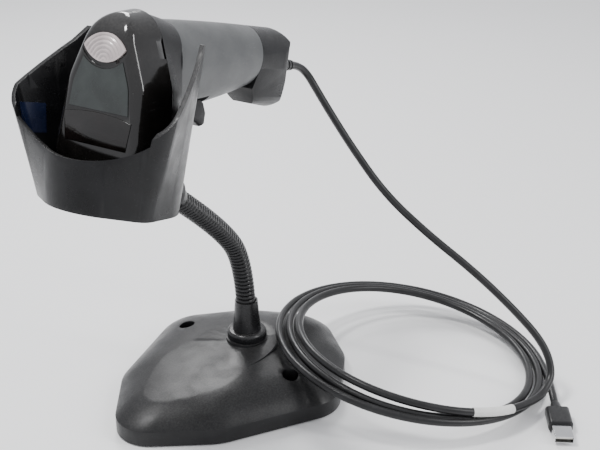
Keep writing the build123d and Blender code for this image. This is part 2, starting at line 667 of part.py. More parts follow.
with BuildPart() as main_board:
    with BuildSketch(Plane.XY.offset(MAIN_BOARD_Z)):
        with Locations((0, (MAIN_BOARD_FRONT + MAIN_BOARD_REAR) / 2)):
            RectangleRounded(2 * MAIN_BOARD_HALF, MAIN_BOARD_REAR - MAIN_BOARD_FRONT, 4)
        with Locations(*BOARD_POSTS):
            Circle(SCREW_R + 0.1, mode=Mode.SUBTRACT)
    extrude(amount=BOARD_THICK)
main_board.part.locate(SCANNER.location)
main_board.part.label = "main_board"
export_step(main_board.part, "parts/main_board.step")

with BuildPart() as main_board_screws:
    with BuildSketch(Plane.XY.offset(BOARD_TOP)):
        with Locations(*BOARD_POSTS):
            Circle(SCREW_HEAD_R)
    extrude(amount=SCREW_HEAD)
    with BuildSketch(Plane.XY.offset(BOARD_TOP)):
        with Locations(*BOARD_POSTS):
            Circle(SCREW_R)
    extrude(amount=-(BOARD_THICK + 4.0))
main_board_screws.part.locate(SCANNER.location)
main_board_screws.part.label = "main_board_screws"
export_step(main_board_screws.part, "parts/main_board_screws.step")

with BuildPart() as scan_engine:
    with Locations((0, ENGINE_FRONT, BOARD_TOP)):
        Box(
            2 * ENGINE_HALF,
            ENGINE_REAR - ENGINE_FRONT,
            ENGINE_HIGH - BOARD_TOP,
            align=(Align.CENTER, Align.MIN, Align.MIN),
        )
    with BuildSketch(level(ENGINE_FRONT)):
        with Locations((0, ENGINE_LENS_Z)):
            Circle(ENGINE_LENS_R)
    extrude(amount=-10, mode=Mode.SUBTRACT)
scan_engine.part.locate(SCANNER.location)
scan_engine.part.label = "scan_engine"
export_step(scan_engine.part, "parts/scan_engine.step")

with BuildPart() as engine_lens:
    with BuildSketch(level(ENGINE_FRONT - 3)):
        with Locations((0, ENGINE_LENS_Z)):
            Circle(ENGINE_LENS_R)
    extrude(amount=-13)
engine_lens.part.locate(SCANNER.location)
engine_lens.part.label = "engine_lens"
export_step(engine_lens.part, "parts/engine_lens.step")

with BuildPart() as illumination_leds:
    with BuildSketch(level(ENGINE_FRONT)):
        with Locations((8.5, 6), (-8.5, 6), (0, 10)):
            Circle(1.7)
    extrude(amount=2.5)
illumination_leds.part.locate(SCANNER.location)
illumination_leds.part.label = "illumination_leds"
export_step(illumination_leds.part, "parts/illumination_leds.step")

INDICATOR_Y = (LENS_TOP_Y + LENS_LOW_Y) / 2
with BuildPart() as indicator_led:
    with Locations((0, INDICATOR_Y, BOARD_TOP)):
        Box(4, 4, 1.5, align=(Align.CENTER, Align.CENTER, Align.MIN))
indicator_led.part.locate(SCANNER.location)
indicator_led.part.label = "indicator_led"
export_step(indicator_led.part, "parts/indicator_led.step")

with BuildPart() as light_pipe:
    for height, radius in ((BOARD_TOP + 1.5, 2.2), (FACE_Z - LENS_DEEP, 5.5)):
        with BuildSketch(Plane.XY.offset(height)):
            with Locations((0, INDICATOR_Y)):
                Circle(radius)
    loft()
light_pipe.part.locate(SCANNER.location)
light_pipe.part.label = "light_pipe"
export_step(light_pipe.part, "parts/light_pipe.step")

with BuildPart() as beeper:
    with BuildSketch(Plane.XY.offset(BOARD_TOP)):
        with Locations((-8, -12)):
            Circle(5.5)
    extrude(amount=4)
    with BuildSketch(Plane.XY.offset(BOARD_TOP + 4)):
        with Locations((-8, -12)):
            Circle(1)
    extrude(amount=-1, mode=Mode.SUBTRACT)
beeper.part.locate(SCANNER.location)
beeper.part.label = "beeper"
export_step(beeper.part, "parts/beeper.step")

with BuildPart() as grip_board:
    with BuildSketch(level(GRIP_BOARD_Y)):
        with Locations((0, (GRIP_BOARD_TOP + GRIP_BOARD_END) / 2)):
            Rectangle(2 * GRIP_BOARD_HALF, GRIP_BOARD_TOP - GRIP_BOARD_END)
        with Locations(*GRIP_POSTS):
            Circle(SCREW_R + 0.1, mode=Mode.SUBTRACT)
    extrude(amount=-BOARD_THICK)
grip_board.part.locate(SCANNER.location)
grip_board.part.label = "grip_board"
export_step(grip_board.part, "parts/grip_board.step")

with BuildPart() as grip_board_screws:
    with BuildSketch(level(GRIP_BOARD_Y)):
        with Locations(*GRIP_POSTS):
            Circle(SCREW_R)
    extrude(amount=-(BOARD_THICK + 4))
    with BuildSketch(level(GRIP_BOARD_Y)):
        with Locations(*GRIP_POSTS):
            Circle(SCREW_HEAD_R)
    extrude(amount=SCREW_HEAD)
grip_board_screws.part.locate(SCANNER.location)
grip_board_screws.part.label = "grip_board_screws"
export_step(grip_board_screws.part, "parts/grip_board_screws.step")

with BuildPart() as flex_cable:
    with BuildSketch(level(GRIP_BOARD_Y)):
        with Locations((-4.5, (GRIP_BOARD_TOP - 4 + MAIN_BOARD_Z) / 2)):
            Rectangle(4, MAIN_BOARD_Z - GRIP_BOARD_TOP + 4)
    extrude(amount=0.4)
flex_cable.part.locate(SCANNER.location)
flex_cable.part.label = "flex_cable"
export_step(flex_cable.part, "parts/flex_cable.step")

with BuildPart() as cable_socket:
    with Locations((0, GRIP_BOARD_Y + BOARD_THICK, SOCKET_END)):
        Box(
            2 * SOCKET_HALF,
            SOCKET_DEPTH,
            SOCKET_TOP - SOCKET_END,
            align=(Align.CENTER, Align.MIN, Align.MIN),
        )
    with Locations((0, CABLE_Y, SOCKET_END - 1)):
        Box(
            2 * (SOCKET_HALF - SOCKET_WALL),
            8.2,
            14.0,
            align=(Align.CENTER, Align.CENTER, Align.MIN),
            mode=Mode.SUBTRACT,
        )
cable_socket.part.locate(SCANNER.location)
cable_socket.part.label = "cable_socket"
export_step(cable_socket.part, "parts/cable_socket.step")

PLUG_END = SOCKET_END - 1.5
with BuildPart() as cable_plug:
    with Locations((0, CABLE_Y, PLUG_END)):
        Box(
            2 * (SOCKET_HALF - SOCKET_WALL) - 0.2,
            8.0,
            13.0,
            align=(Align.CENTER, Align.CENTER, Align.MIN),
        )
cable_plug.part.locate(SCANNER.location)
cable_plug.part.label = "cable_plug"
export_step(cable_plug.part, "parts/cable_plug.step")

with BuildPart() as cable_boot:
    with BuildSketch(Plane.XY.offset(PLUG_END)):
        with Locations((0, CABLE_Y)):
            Circle(BOOT_R)
    extrude(amount=CAP_END - PLUG_END)
    with BuildSketch(Plane.XY.offset(CAP_END)):
        with Locations((0, CABLE_Y)):
            Circle(BOOT_FLANGE_R)
    extrude(amount=-BOOT_FLANGE)
    for height, radius in ((CAP_END - BOOT_FLANGE, 5.2), (CAP_END - BOOT_LENGTH, CABLE_D / 2 + 0.7)):
        with BuildSketch(Plane.XY.offset(height)):
            with Locations((0, CABLE_Y)):
                Circle(radius)
    loft()
    # flexing grooves
    for step in range(4):
        with BuildSketch(Plane.XY.offset(CAP_END - BOOT_FLANGE - 2.6 - 4.2 * step)):
            with Locations((0, CABLE_Y)):
                Circle(8)
                Circle(4.4 - 0.45 * step, mode=Mode.SUBTRACT)
        extrude(amount=-1.6, mode=Mode.SUBTRACT)
cable_boot.part.locate(SCANNER.location)
cable_boot.part.label = "cable_boot"
export_step(cable_boot.part, "parts/cable_boot.step")

with BuildPart() as cover_screws:
    with BuildSketch(Plane.XY.offset(HOUSING_FLOOR)):
        with Locations(*COVER_POSTS):
            Circle(SCREW_HEAD_R)
    extrude(amount=SCREW_HEAD)
    with BuildSketch(Plane.XY.offset(HOUSING_FLOOR + SCREW_HEAD)):
        with Locations(*COVER_POSTS):
            Circle(SCREW_R)
    extrude(amount=COVER_SCREW_LONG - 1)
cover_screws.part.locate(SCANNER.location)
cover_screws.part.label = "cover_screws"
export_step(cover_screws.part, "parts/cover_screws.step")

with BuildPart() as end_cap_screw:
    with BuildSketch(Plane.XY.offset(CAP_SCREW_SEAT)):
        with Locations((0, CAP_SCREW_Y)):
            Circle(SCREW_HEAD_R + 0.6)
    extrude(amount=-2)
    with BuildSketch(Plane.XY.offset(CAP_SCREW_SEAT)):
        with Locations((0, CAP_SCREW_Y)):
            Circle(SCREW_R + 0.4)
    extrude(amount=CAP_SCREW_TOP - CAP_SCREW_SEAT - 0.5)
end_cap_screw.part.locate(SCANNER.location)
end_cap_screw.part.label = "end_cap_screw"
export_step(end_cap_screw.part, "parts/end_cap_screw.step")

# ================================================================ stand: cup
NECK_AIM = Vector(0, 0.397, 0.918)  # the gooseneck's heading where it enters the cup
BOSS = Plane(origin=(0, -68.0, -26.5), x_dir=(1, 0, 0), z_dir=NECK_AIM)

with BuildPart() as cup_shell:
    add(cup_form())
    with BuildSketch(BOSS.offset(-BOSS_LONG)):
        Circle(BOSS_R)
    extrude(amount=BOSS_LONG + 8)
    add(cup_form(CUP_WALL, CUP_LOW - 1, CUP_TOP + 1), mode=Mode.SUBTRACT)
    # ledge that the nose stands on, open in the middle for the scanner's view
    with BuildSketch(level(LEDGE_TOP)):
        add(cup_outline(LEDGE_TOP, CUP_WALL - 1.2))
        add(nose_outline(-1.5), mode=Mode.SUBTRACT)
    extrude(amount=LEDGE_THICK)
    with BuildSketch(Plane.YZ):
        with BuildLine():
            Polyline(
                (LIP_CORNER, 46),
                (-18, 36),
                (9, 7),
                (17.5, 0),
                (17.5, -5),
                (4, -12),
                (-36, -22),
                (-36, -60),
                (60, -60),
                (60, 90),
                (LIP_CORNER, 90),
                (LIP_CORNER, 46),
            )
        make_face()
    extrude(amount=90, both=True, mode=Mode.SUBTRACT)
    with BuildSketch(Plane.XY.offset(LIP_Z)):
        with BuildLine():
            ThreePointArc((-LIP_HALF, LIP_CORNER), (0, LIP_CENTRE), (LIP_HALF, LIP_CORNER))
            Polyline(
                (LIP_HALF, LIP_CORNER),
                (LIP_HALF + LIP_SPREAD, 60),
                (-LIP_HALF - LIP_SPREAD, 60),
                (-LIP_HALF, LIP_CORNER),
            )
        make_face()
    extrude(amount=60, mode=Mode.SUBTRACT)
    with BuildSketch(BOSS.offset(-BOSS_LONG - 1)):
        Circle(NECK_D / 2 + FIT)
    extrude(amount=BOSS_LONG + 1 + FIT, mode=Mode.SUBTRACT)
    screw_hole = Plane(
        origin=BOSS.from_local_coords((0, 0, -BOSS_LONG / 2)),
        x_dir=(0, 1, 0),
        z_dir=(1, 0, 0),
    )
    with BuildSketch(screw_hole):
        Circle(SET_SCREW_R)
    extrude(amount=BOSS_R + 1, both=True, mode=Mode.SUBTRACT)
    with BuildSketch(level(LEDGE_TOP)):
        with Locations((0, MAGNET_Z)):
            Circle(MAGNET_R + FIT)
    extrude(amount=MAGNET_HIGH, mode=Mode.SUBTRACT)
cup_shell.part.locate(SCANNER.location)
cup_shell.part.label = "cup_shell"
export_step(cup_shell.part, "parts/cup_shell.step")

with BuildPart() as cup_nose_pad:
    with BuildSketch(level(LEDGE_TOP + PAD_THICK)):
        add(nose_outline(PAD_INSET))
        add(nose_outline(-0.5), mode=Mode.SUBTRACT)
    extrude(amount=PAD_THICK)
cup_nose_pad.part.locate(SCANNER.location)
cup_nose_pad.part.label = "cup_nose_pad"
export_step(cup_nose_pad.part, "parts/cup_nose_pad.step")

with BuildPart() as cup_label_plate:
    add(cup_form(CUP_WALL + 0.03))
    add(cup_form(CUP_WALL + 0.8, CUP_LOW - 1, CUP_TOP + 1), mode=Mode.SUBTRACT)
    with Locations((-60, LABEL_Y, LABEL_Z)):
        Box(80, LABEL_LONG, LABEL_HIGH, mode=Mode.INTERSECT)
cup_label_plate.part.locate(SCANNER.location)
cup_label_plate.part.label = "cup_label_plate"
export_step(cup_label_plate.part, "parts/cup_label_plate.step")

with BuildPart() as cup_magnet:
    with BuildSketch(level(LEDGE_TOP)):
        with Locations((0, MAGNET_Z)):
            Circle(MAGNET_R)
    extrude(amount=MAGNET_HIGH)
cup_magnet.part.locate(SCANNER.location)
cup_magnet.part.label = "cup_magnet"
export_step(cup_magnet.part, "parts/cup_magnet.step")

with BuildPart() as cup_set_screws:
    for side in (1, -1):
        with BuildSketch(
            Plane(
                origin=BOSS.from_local_coords((side * (NECK_D / 2 + 0.1), 0, -BOSS_LONG / 2)),
                x_dir=(0, 1, 0),
                z_dir=(side, 0, 0),
            )
        ):
            Circle(SET_SCREW_R)
            RegularPolygon(1.1, 6, mode=Mode.SUBTRACT)
        extrude(amount=BOSS_R - NECK_D / 2 - 0.6)
cup_set_screws.part.locate(SCANNER.location)
cup_set_screws.part.label = "cup_set_screws"
export_step(cup_set_screws.part, "parts/cup_set_screws.step")

# ================================================================ stand: gooseneck
NECK = Plane(origin=(0, 0, 0), x_dir=in_neck_plane(1, 0), z_dir=LATERAL)


def bend_radii(points):
    """The largest tangent arc for each corner of a cord's or tube's route."""
    runs = [Vector(b) - Vector(a) for a, b in zip(points, points[1:])]
    return [
        0.45 * min(a.length, b.length) / tan(radians(a.get_angle(b) / 2))
        for a, b in zip(runs, runs[1:])
    ]


neck_points = [NECK.from_local_coords(p) for p in (NECK_LOW, NECK_CORNER_1, NECK_CORNER_2, NECK_END)]
neck_radii = bend_radii(neck_points)
with BuildPart() as gooseneck:
    with BuildLine(NECK):
        neck_line = FilletPolyline(
            NECK_LOW, NECK_CORNER_1, NECK_CORNER_2, NECK_END, radius=neck_radii
        )
    with BuildSketch(Plane(origin=NECK.from_local_coords(NECK_LOW), z_dir=(0, 0, 1))):
        Circle(NECK_D / 2)
        Circle(NECK_BORE / 2, mode=Mode.SUBTRACT)
    sweep()
NECK_CUT = Plane(origin=NECK.from_local_coords(NECK_SPLIT), z_dir=in_neck_plane(-0.46, 0.89))

with BuildPart() as gooseneck_lower:
    add(gooseneck.part)
    split(bisect_by=NECK_CUT, keep=Keep.BOTTOM)
gooseneck_lower.part.label = "gooseneck_lower"
export_step(gooseneck_lower.part, "parts/gooseneck_lower.step")

with BuildPart() as gooseneck_upper:
    add(gooseneck.part)
    split(bisect_by=NECK_CUT, keep=Keep.TOP)
gooseneck_upper.part.label = "gooseneck_upper"
export_step(gooseneck_upper.part, "parts/gooseneck_upper.step")

with BuildPart() as neck_top_ferrule:
    for along, radius in ((-TOP_FERRULE_LONG, NECK_D / 2 + 0.8), (0, FERRULE_LOW_R)):
        with BuildSketch(BOSS.offset(-BOSS_LONG + along)):
            Circle(radius)
    loft()
    with BuildSketch(BOSS.offset(-BOSS_LONG - TOP_FERRULE_LONG)):
        Circle(NECK_D / 2 + RUNNING)
    extrude(amount=TOP_FERRULE_LONG, mode=Mode.SUBTRACT)
neck_top_ferrule.part.locate(SCANNER.location)
neck_top_ferrule.part.label = "neck_top_ferrule"
export_step(neck_top_ferrule.part, "parts/neck_top_ferrule.step")

COLLAR_LOW = SEAT_Z + 0.1
COLLAR_TOP = COLLAR_LOW + COLLAR_HIGH
with BuildPart() as neck_collar:
    with BuildSketch(Plane.XY.offset(COLLAR_LOW)):
        Circle(COLLAR_R)
    extrude(amount=COLLAR_HIGH)
    chamfer(neck_collar.faces().sort_by(Axis.Z)[-1].edges(), 1.2)
    with BuildSketch(Plane.XY.offset(COLLAR_LOW)):
        Circle(STUD_R)
    extrude(amount=COLLAR_HIGH, mode=Mode.SUBTRACT)
neck_collar.part.label = "neck_collar"
export_step(neck_collar.part, "parts/neck_collar.step")

with BuildPart() as neck_ferrule:
    for height, radius in ((COLLAR_TOP, FERRULE_LOW_R), (FERRULE_TOP, FERRULE_TOP_R)):
        with BuildSketch(Plane.XY.offset(height)):
            Circle(radius)
    loft()
    with BuildSketch(Plane.XY.offset(NECK_LOW[1])):
        Circle(NECK_D / 2 + RUNNING)
    extrude(amount=40, mode=Mode.SUBTRACT)
    with BuildSketch(Plane.XY.offset(COLLAR_TOP)):
        Circle(STUD_R)
    extrude(amount=5, mode=Mode.SUBTRACT)
neck_ferrule.part.label = "neck_ferrule"
export_step(neck_ferrule.part, "parts/neck_ferrule.step")

with BuildPart() as neck_stud:
    with BuildSketch(Plane.XY.offset(STUD_LOW)):
        Circle(STUD_R)
    extrude(amount=NECK_LOW[1] + 8 - STUD_LOW)
neck_stud.part.label = "neck_stud"
export_step(neck_stud.part, "parts/neck_stud.step")

with BuildPart() as neck_nut:
    with BuildSketch(Plane.XY.offset(BOSS_LOW - 0.1)):
        RegularPolygon(NUT_FLATS / 2, 6, major_radius=False)
        Circle(STUD_R, mode=Mode.SUBTRACT)
    extrude(amount=-NUT_HIGH)
neck_nut.part.label = "neck_nut"
export_step(neck_nut.part, "parts/neck_nut.step")

# ================================================================ stand: base
FACET = Plane(
    origin=(0, OVAL_Y + OVAL_LONG, OVAL_REAR_Z),
    x_dir=(1, 0, 0),
    z_dir=(0, -sin(radians(OVAL_SLOPE)), cos(radians(OVAL_SLOPE))),
)

with BuildPart() as base_cover:
    add(dome_form())
    # inclined oval facet: raised where the dome is below it, cut where the dome is above it
    with BuildSketch(Plane.XY.offset(BASE_EDGE)):
        with Locations((0, OVAL_Y)):
            Ellipse(OVAL_HALF, OVAL_LONG)
    extrude(amount=40)
    with BuildSketch(FACET):
        Rectangle(300, 300)
    extrude(amount=60, mode=Mode.SUBTRACT)
    add(dome_form(BASE_WALL), mode=Mode.SUBTRACT)
    with BuildSketch(Plane.XY.offset(BOSS_LOW)):
        Circle(COLLAR_R + 1)
    extrude(amount=SEAT_Z - BOSS_LOW)
    with BuildSketch(Plane.XY.offset(SEAT_Z)):
        Circle(COLLAR_R + 1)
    extrude(amount=20, mode=Mode.SUBTRACT)
    with BuildSketch(Plane.XY.offset(PLATE_HIGH)):
        with Locations((BOLT_X, BOLT_Y), (-BOLT_X, BOLT_Y)):
            Circle(BOLT_HEAD_R + 2)
        with Locations(*BASE_SCREWS):
            Circle(4)
    extrude(until=Until.NEXT)
    with BuildSketch(Plane.XY.offset(BOLT_SEAT_Z)):
        with Locations((BOLT_X, BOLT_Y), (-BOLT_X, BOLT_Y)):
            Circle(BOLT_HEAD_R)
    extrude(amount=40, mode=Mode.SUBTRACT)
    with BuildSketch(Plane.XY.offset(PLATE_HIGH)):
        with Locations((BOLT_X, BOLT_Y), (-BOLT_X, BOLT_Y)):
            Circle(BOLT_R)
    extrude(amount=40, mode=Mode.SUBTRACT)
    with BuildSketch(Plane.XY.offset(PLATE_HIGH)):
        with Locations(*BASE_SCREWS):
            Circle(1.5)
    extrude(amount=9, mode=Mode.SUBTRACT)
    with BuildSketch(Plane.XY.offset(BOSS_LOW)):
        Circle(STUD_R + 0.1)
    extrude(amount=20, mode=Mode.SUBTRACT)
base_cover.part.label = "base_cover"
export_step(base_cover.part, "parts/base_cover.step")

with BuildPart() as base_weight:
    with BuildSketch(Plane.XY.offset(PLATE_HIGH)):
        add(base_outline(WEIGHT_SCALE))
        Circle(STUD_R + 6, mode=Mode.SUBTRACT)
        with Locations((BOLT_X, BOLT_Y), (-BOLT_X, BOLT_Y)):
            Circle(BOLT_HEAD_R + 2.8, mode=Mode.SUBTRACT)
        with Locations(*BASE_SCREWS):
            Circle(4.8, mode=Mode.SUBTRACT)
    extrude(amount=WEIGHT_THICK)
base_weight.part.label = "base_weight"
export_step(base_weight.part, "parts/base_weight.step")

with BuildPart() as base_plate:
    with BuildSketch(Plane.XY.offset(PLATE_LOW)):
        add(base_outline(PLATE_SCALE))
        with Locations((BOLT_X, BOLT_Y), (-BOLT_X, BOLT_Y)):
            Circle(BOLT_R, mode=Mode.SUBTRACT)
        with Locations(*BASE_SCREWS):
            Circle(1.6, mode=Mode.SUBTRACT)
    extrude(amount=PLATE_HIGH - PLATE_LOW)
base_plate.part.label = "base_plate"
export_step(base_plate.part, "parts/base_plate.step")

with BuildPart() as base_pad:
    with BuildSketch(Plane.XY):
        add(base_outline(PAD_SCALE))
        with Locations((BOLT_X, BOLT_Y), (-BOLT_X, BOLT_Y)):
            Circle(BOLT_R, mode=Mode.SUBTRACT)
        with Locations(*BASE_SCREWS):
            Circle(3.6, mode=Mode.SUBTRACT)
    extrude(amount=PLATE_LOW)
base_pad.part.label = "base_pad"
export_step(base_pad.part, "parts/base_pad.step")

with BuildPart() as base_screws:
    with BuildSketch(Plane.XY.offset(PLATE_LOW)):
        with Locations(*BASE_SCREWS):
            Circle(3)
    extrude(amount=-1.2)
    with BuildSketch(Plane.XY.offset(PLATE_LOW)):
        with Locations(*BASE_SCREWS):
            Circle(1.5)
    extrude(amount=9)
base_screws.part.label = "base_screws"
export_step(base_screws.part, "parts/base_screws.step")

# ================================================================ cable


def in_scanner(x, y, z):
    """A point of the scanner's frame, in the row frame."""
    return SCANNER.from_local_coords((x, y, z))


BOOT_END = in_scanner(0, CABLE_Y, CAP_END - BOOT_LENGTH)
CORD_ROUTE = [
    BOOT_END,
    in_scanner(0, CABLE_Y, CAP_END - BOOT_LENGTH - 9.5),
    Vector(-10.6, 73.5, 199.0),
    Vector(-5.6, 77.0, 188.5),
    Vector(5.5, 80.5, 171.5),
    Vector(24.0, 82.5, 150.0),
    Vector(49.0, 87.5, 122.0),
    Vector(81.0, 95.0, 99.0),
    Vector(113.0, 104.0, 79.0),
    Vector(142.0, 111.0, 57.5),
    Vector(163.5, 117.0, 37.0),
    Vector(174.0, 114.0, 20.0),
    Vector(176.0, 102.0, 12.5),
    Vector(175.0, 90.0, 11.5),
]
CORD_RADII = bend_radii(CORD_ROUTE)
print("cord radii", [round(r, 1) for r in CORD_RADII])
print("cord runs", [round((b - a).length, 1) for a, b in zip(CORD_ROUTE, CORD_ROUTE[1:])])


with BuildPart() as cord:
    with BuildLine():
        cord_line = FilletPolyline(*CORD_ROUTE, radius=CORD_RADII)
    with BuildSketch(Plane(origin=cord_line @ 0, z_dir=cord_line % 0)):
        Circle(CABLE_D / 2)
    sweep()
print("cord volume", round(cord.part.volume), "of", round(cord_line.length * pi * CABLE_D**2 / 4))
print("cord length", round(cord_line.length, 1))
HIGH_CUT = Plane(
    origin=(CORD_ROUTE[3] + CORD_ROUTE[4]) / 2, z_dir=CORD_ROUTE[4] - CORD_ROUTE[3]
)
LOW_CUT = Plane(origin=(CORD_ROUTE[6] + CORD_ROUTE[7]) / 2, z_dir=CORD_ROUTE[7] - CORD_ROUTE[6])

with BuildPart() as cord_high:
    add(cord.part)
    split(bisect_by=HIGH_CUT, keep=Keep.BOTTOM)
cord_high.part.label = "cord_high"
export_step(cord_high.part, "parts/cord_high.step")

with BuildPart() as cord_mid:
    add(cord.part)
    split(bisect_by=HIGH_CUT, keep=Keep.TOP)
    split(bisect_by=LOW_CUT, keep=Keep.BOTTOM)
cord_mid.part.label = "cord_mid"
export_step(cord_mid.part, "parts/cord_mid.step")

with BuildPart() as cord_low:
    add(cord.part)
    split(bisect_by=LOW_CUT, keep=Keep.TOP)
cord_low.part.label = "cord_low"
export_step(cord_low.part, "parts/cord_low.step")

COIL = Plane(
    origin=(COIL_X, COIL_Y, COIL_Z),
    x_dir=(1, 0, COIL_TILT_X),
    z_dir=(-COIL_TILT_X, -COIL_TILT_Y, 1),
)
COIL_SIDE = Plane(
    origin=COIL.origin, x_dir=COIL.x_dir, z_dir=COIL.x_dir.cross(COIL.z_dir)
)
with BuildPart() as cord_coil:
    with BuildSketch(COIL_SIDE):
        with Locations((COIL_R, 0)):
            Ellipse(COIL_WIDE, COIL_HIGH)
    revolve(axis=Axis(COIL.origin, COIL.z_dir))
cord_coil.part.label = "cord_coil"
export_step(cord_coil.part, "parts/cord_coil.step")

# ================================================================ cable: host plug
USB = Plane(
    origin=(USB_X, USB_Y, USB_Z),
    x_dir=(-USB_HEADING[1], USB_HEADING[0], 0),
    z_dir=(*USB_HEADING, 0),
)
with BuildPart() as cord_tail:
    with BuildLine():
        tail_line = FilletPolyline(*CORD_TAIL, USB.origin, radius=bend_radii([*CORD_TAIL, USB.origin]))
    with BuildSketch(Plane(origin=tail_line @ 0, z_dir=tail_line % 0)):
        Circle(CABLE_D / 2)
    sweep()
cord_tail.part.label = "cord_tail"
export_step(cord_tail.part, "parts/cord_tail.step")

with BuildPart() as usb_plug_body:
    with BuildSketch(USB):
        Circle(CABLE_D / 2 + 0.5)
    with BuildSketch(USB.offset(USB_RELIEF)):
        Circle(CABLE_D / 2 + 1.5)
    loft()
    with BuildSketch(USB.offset(USB_RELIEF)):
        RectangleRounded(USB_WIDE, USB_HIGH, 2.5)
    extrude(amount=USB_BODY)
    fillet(usb_plug_body.faces().sort_by(Axis(USB.origin, USB.z_dir))[-1].edges(), 1.0)
usb_plug_body.part.label = "usb_plug_body"
export_step(usb_plug_body.part, "parts/usb_plug_body.step")

USB_FACE = USB.offset(USB_RELIEF + USB_BODY)
with BuildPart() as usb_plug_shell:
    with BuildSketch(USB_FACE):
        RectangleRounded(SHELL_WIDE, SHELL_HIGH, 0.6)
        offset(amount=-0.35, mode=Mode.SUBTRACT)
    extrude(amount=SHELL_LONG)
usb_plug_shell.part.label = "usb_plug_shell"
export_step(usb_plug_shell.part, "parts/usb_plug_shell.step")

with BuildPart() as usb_tongue:
    with BuildSketch(USB_FACE):
        with Locations((0, SHELL_HIGH / 2 - 0.4 - 0.9)):
            Rectangle(SHELL_WIDE - 1.2, 1.8)
    extrude(amount=SHELL_LONG - 1)
usb_tongue.part.label = "usb_tongue"
export_step(usb_tongue.part, "parts/usb_tongue.step")
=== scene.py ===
"""Visual model of a corded handheld barcode scanner that stands nose down in a gooseneck desk stand.

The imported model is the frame: every piece built here goes where that model says, in metres.
"""

import json
import logging
import math
from collections.abc import Callable
from dataclasses import dataclass, field
from enum import Enum

import bmesh
import bpy
from mathutils import Matrix, Vector


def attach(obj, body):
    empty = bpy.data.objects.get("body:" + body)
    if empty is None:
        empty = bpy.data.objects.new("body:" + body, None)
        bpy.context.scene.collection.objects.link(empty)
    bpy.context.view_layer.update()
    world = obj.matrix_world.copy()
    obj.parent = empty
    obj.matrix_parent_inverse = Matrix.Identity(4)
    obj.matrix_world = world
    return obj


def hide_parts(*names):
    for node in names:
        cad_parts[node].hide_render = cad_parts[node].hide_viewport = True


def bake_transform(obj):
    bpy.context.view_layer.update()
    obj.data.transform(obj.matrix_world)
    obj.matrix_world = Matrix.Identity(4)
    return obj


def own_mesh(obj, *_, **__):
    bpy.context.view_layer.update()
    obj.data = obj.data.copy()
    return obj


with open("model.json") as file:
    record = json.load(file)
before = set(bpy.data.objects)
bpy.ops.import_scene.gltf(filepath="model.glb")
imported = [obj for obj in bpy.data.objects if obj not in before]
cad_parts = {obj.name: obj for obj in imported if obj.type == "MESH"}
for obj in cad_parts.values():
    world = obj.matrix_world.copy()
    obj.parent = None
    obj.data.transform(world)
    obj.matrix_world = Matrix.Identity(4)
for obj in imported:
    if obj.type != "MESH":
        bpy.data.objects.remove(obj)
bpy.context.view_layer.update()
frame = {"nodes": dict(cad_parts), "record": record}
BODY_OF = {node: body for body, nodes in frame["record"]["behaviour"]["bodies"].items() for node in nodes}

LOG = logging.getLogger("barcode_scanner")
MM = 0.001


class Body(Enum):
    """The rigid bodies of the model."""

    BASE = "base"
    NECK = "neck"
    CRADLE = "cradle"
    SCANNER = "scanner"
    TRIGGER = "trigger"


class Pattern(Enum):
    """What varies the colour of a finish."""

    CLOUD = "cloud"
    STREAK = "streak"
    SPECKLE = "speckle"


Colour = tuple[float, float, float]


# ---------------------------------------------------------------- places
@dataclass(frozen=True)
class ScannerFrame:
    """The scanner's own frame: X to the right, nose towards -Y and face towards +Z, in millimetres."""

    yaw: float = math.radians(10.0)
    pitch: float = math.radians(75.0)
    back: float = -95.0
    height: float = 244.0

    def neck_point(self, back: float, height: float) -> Vector:
        """Places a point of the gooseneck's upright plane.

        Args:
            back: distance behind the collar, in millimetres.
            height: height above the table, in millimetres.

        Returns:
            The point in the model's frame, in metres.
        """
        return Vector((-back * math.sin(self.yaw), back * math.cos(self.yaw), height)) * MM

    def lateral(self) -> Vector:
        """The direction to the scanner's right."""
        return Vector((math.cos(self.yaw), math.sin(self.yaw), 0.0))

    def point(self, x: float, y: float, z: float) -> Vector:
        """Places a point of the scanner.

        Args:
            x: distance to the right, in millimetres.
            y: distance towards the tail, in millimetres.
            z: distance towards the face, in millimetres.

        Returns:
            The point in the model's frame, in metres.
        """
        back = self.back + y * math.cos(self.pitch) - z * math.sin(self.pitch)
        height = self.height + y * math.sin(self.pitch) + z * math.cos(self.pitch)
        return self.neck_point(back, height) + self.lateral() * x * MM

    def matrix(self) -> Matrix:
        """The transform from the scanner's frame, in metres, to the model's frame."""
        origin = self.point(0, 0, 0)
        axes = [(self.point(*unit) - origin).normalized() for unit in ((1, 0, 0), (0, 1, 0), (0, 0, 1))]
        turn = Matrix((axes[0], axes[1], axes[2])).transposed().to_4x4()
        return Matrix.Translation(origin) @ turn


PLACE = ScannerFrame()


# ---------------------------------------------------------------- shared shader groups
def new_group(
    name: str, inputs: dict[str, tuple[str, float]], outputs: dict[str, str]
) -> tuple[bpy.types.NodeTree, bpy.types.Node, bpy.types.Node]:
    """Starts a shader node group.

    Args:
        name: the group's name.
        inputs: socket names with their socket type and default value.
        outputs: socket names with their socket type.

    Returns:
        The group, its input node and its output node.
    """
    group = bpy.data.node_groups.new(name, "ShaderNodeTree")
    for label, (kind, value) in inputs.items():
        socket = group.interface.new_socket(label, in_out="INPUT", socket_type=kind)
        if kind == "NodeSocketFloat":
            socket.default_value = value
    for label, kind in outputs.items():
        group.interface.new_socket(label, in_out="OUTPUT", socket_type=kind)
    return group, group.nodes.new("NodeGroupInput"), group.nodes.new("NodeGroupOutput")


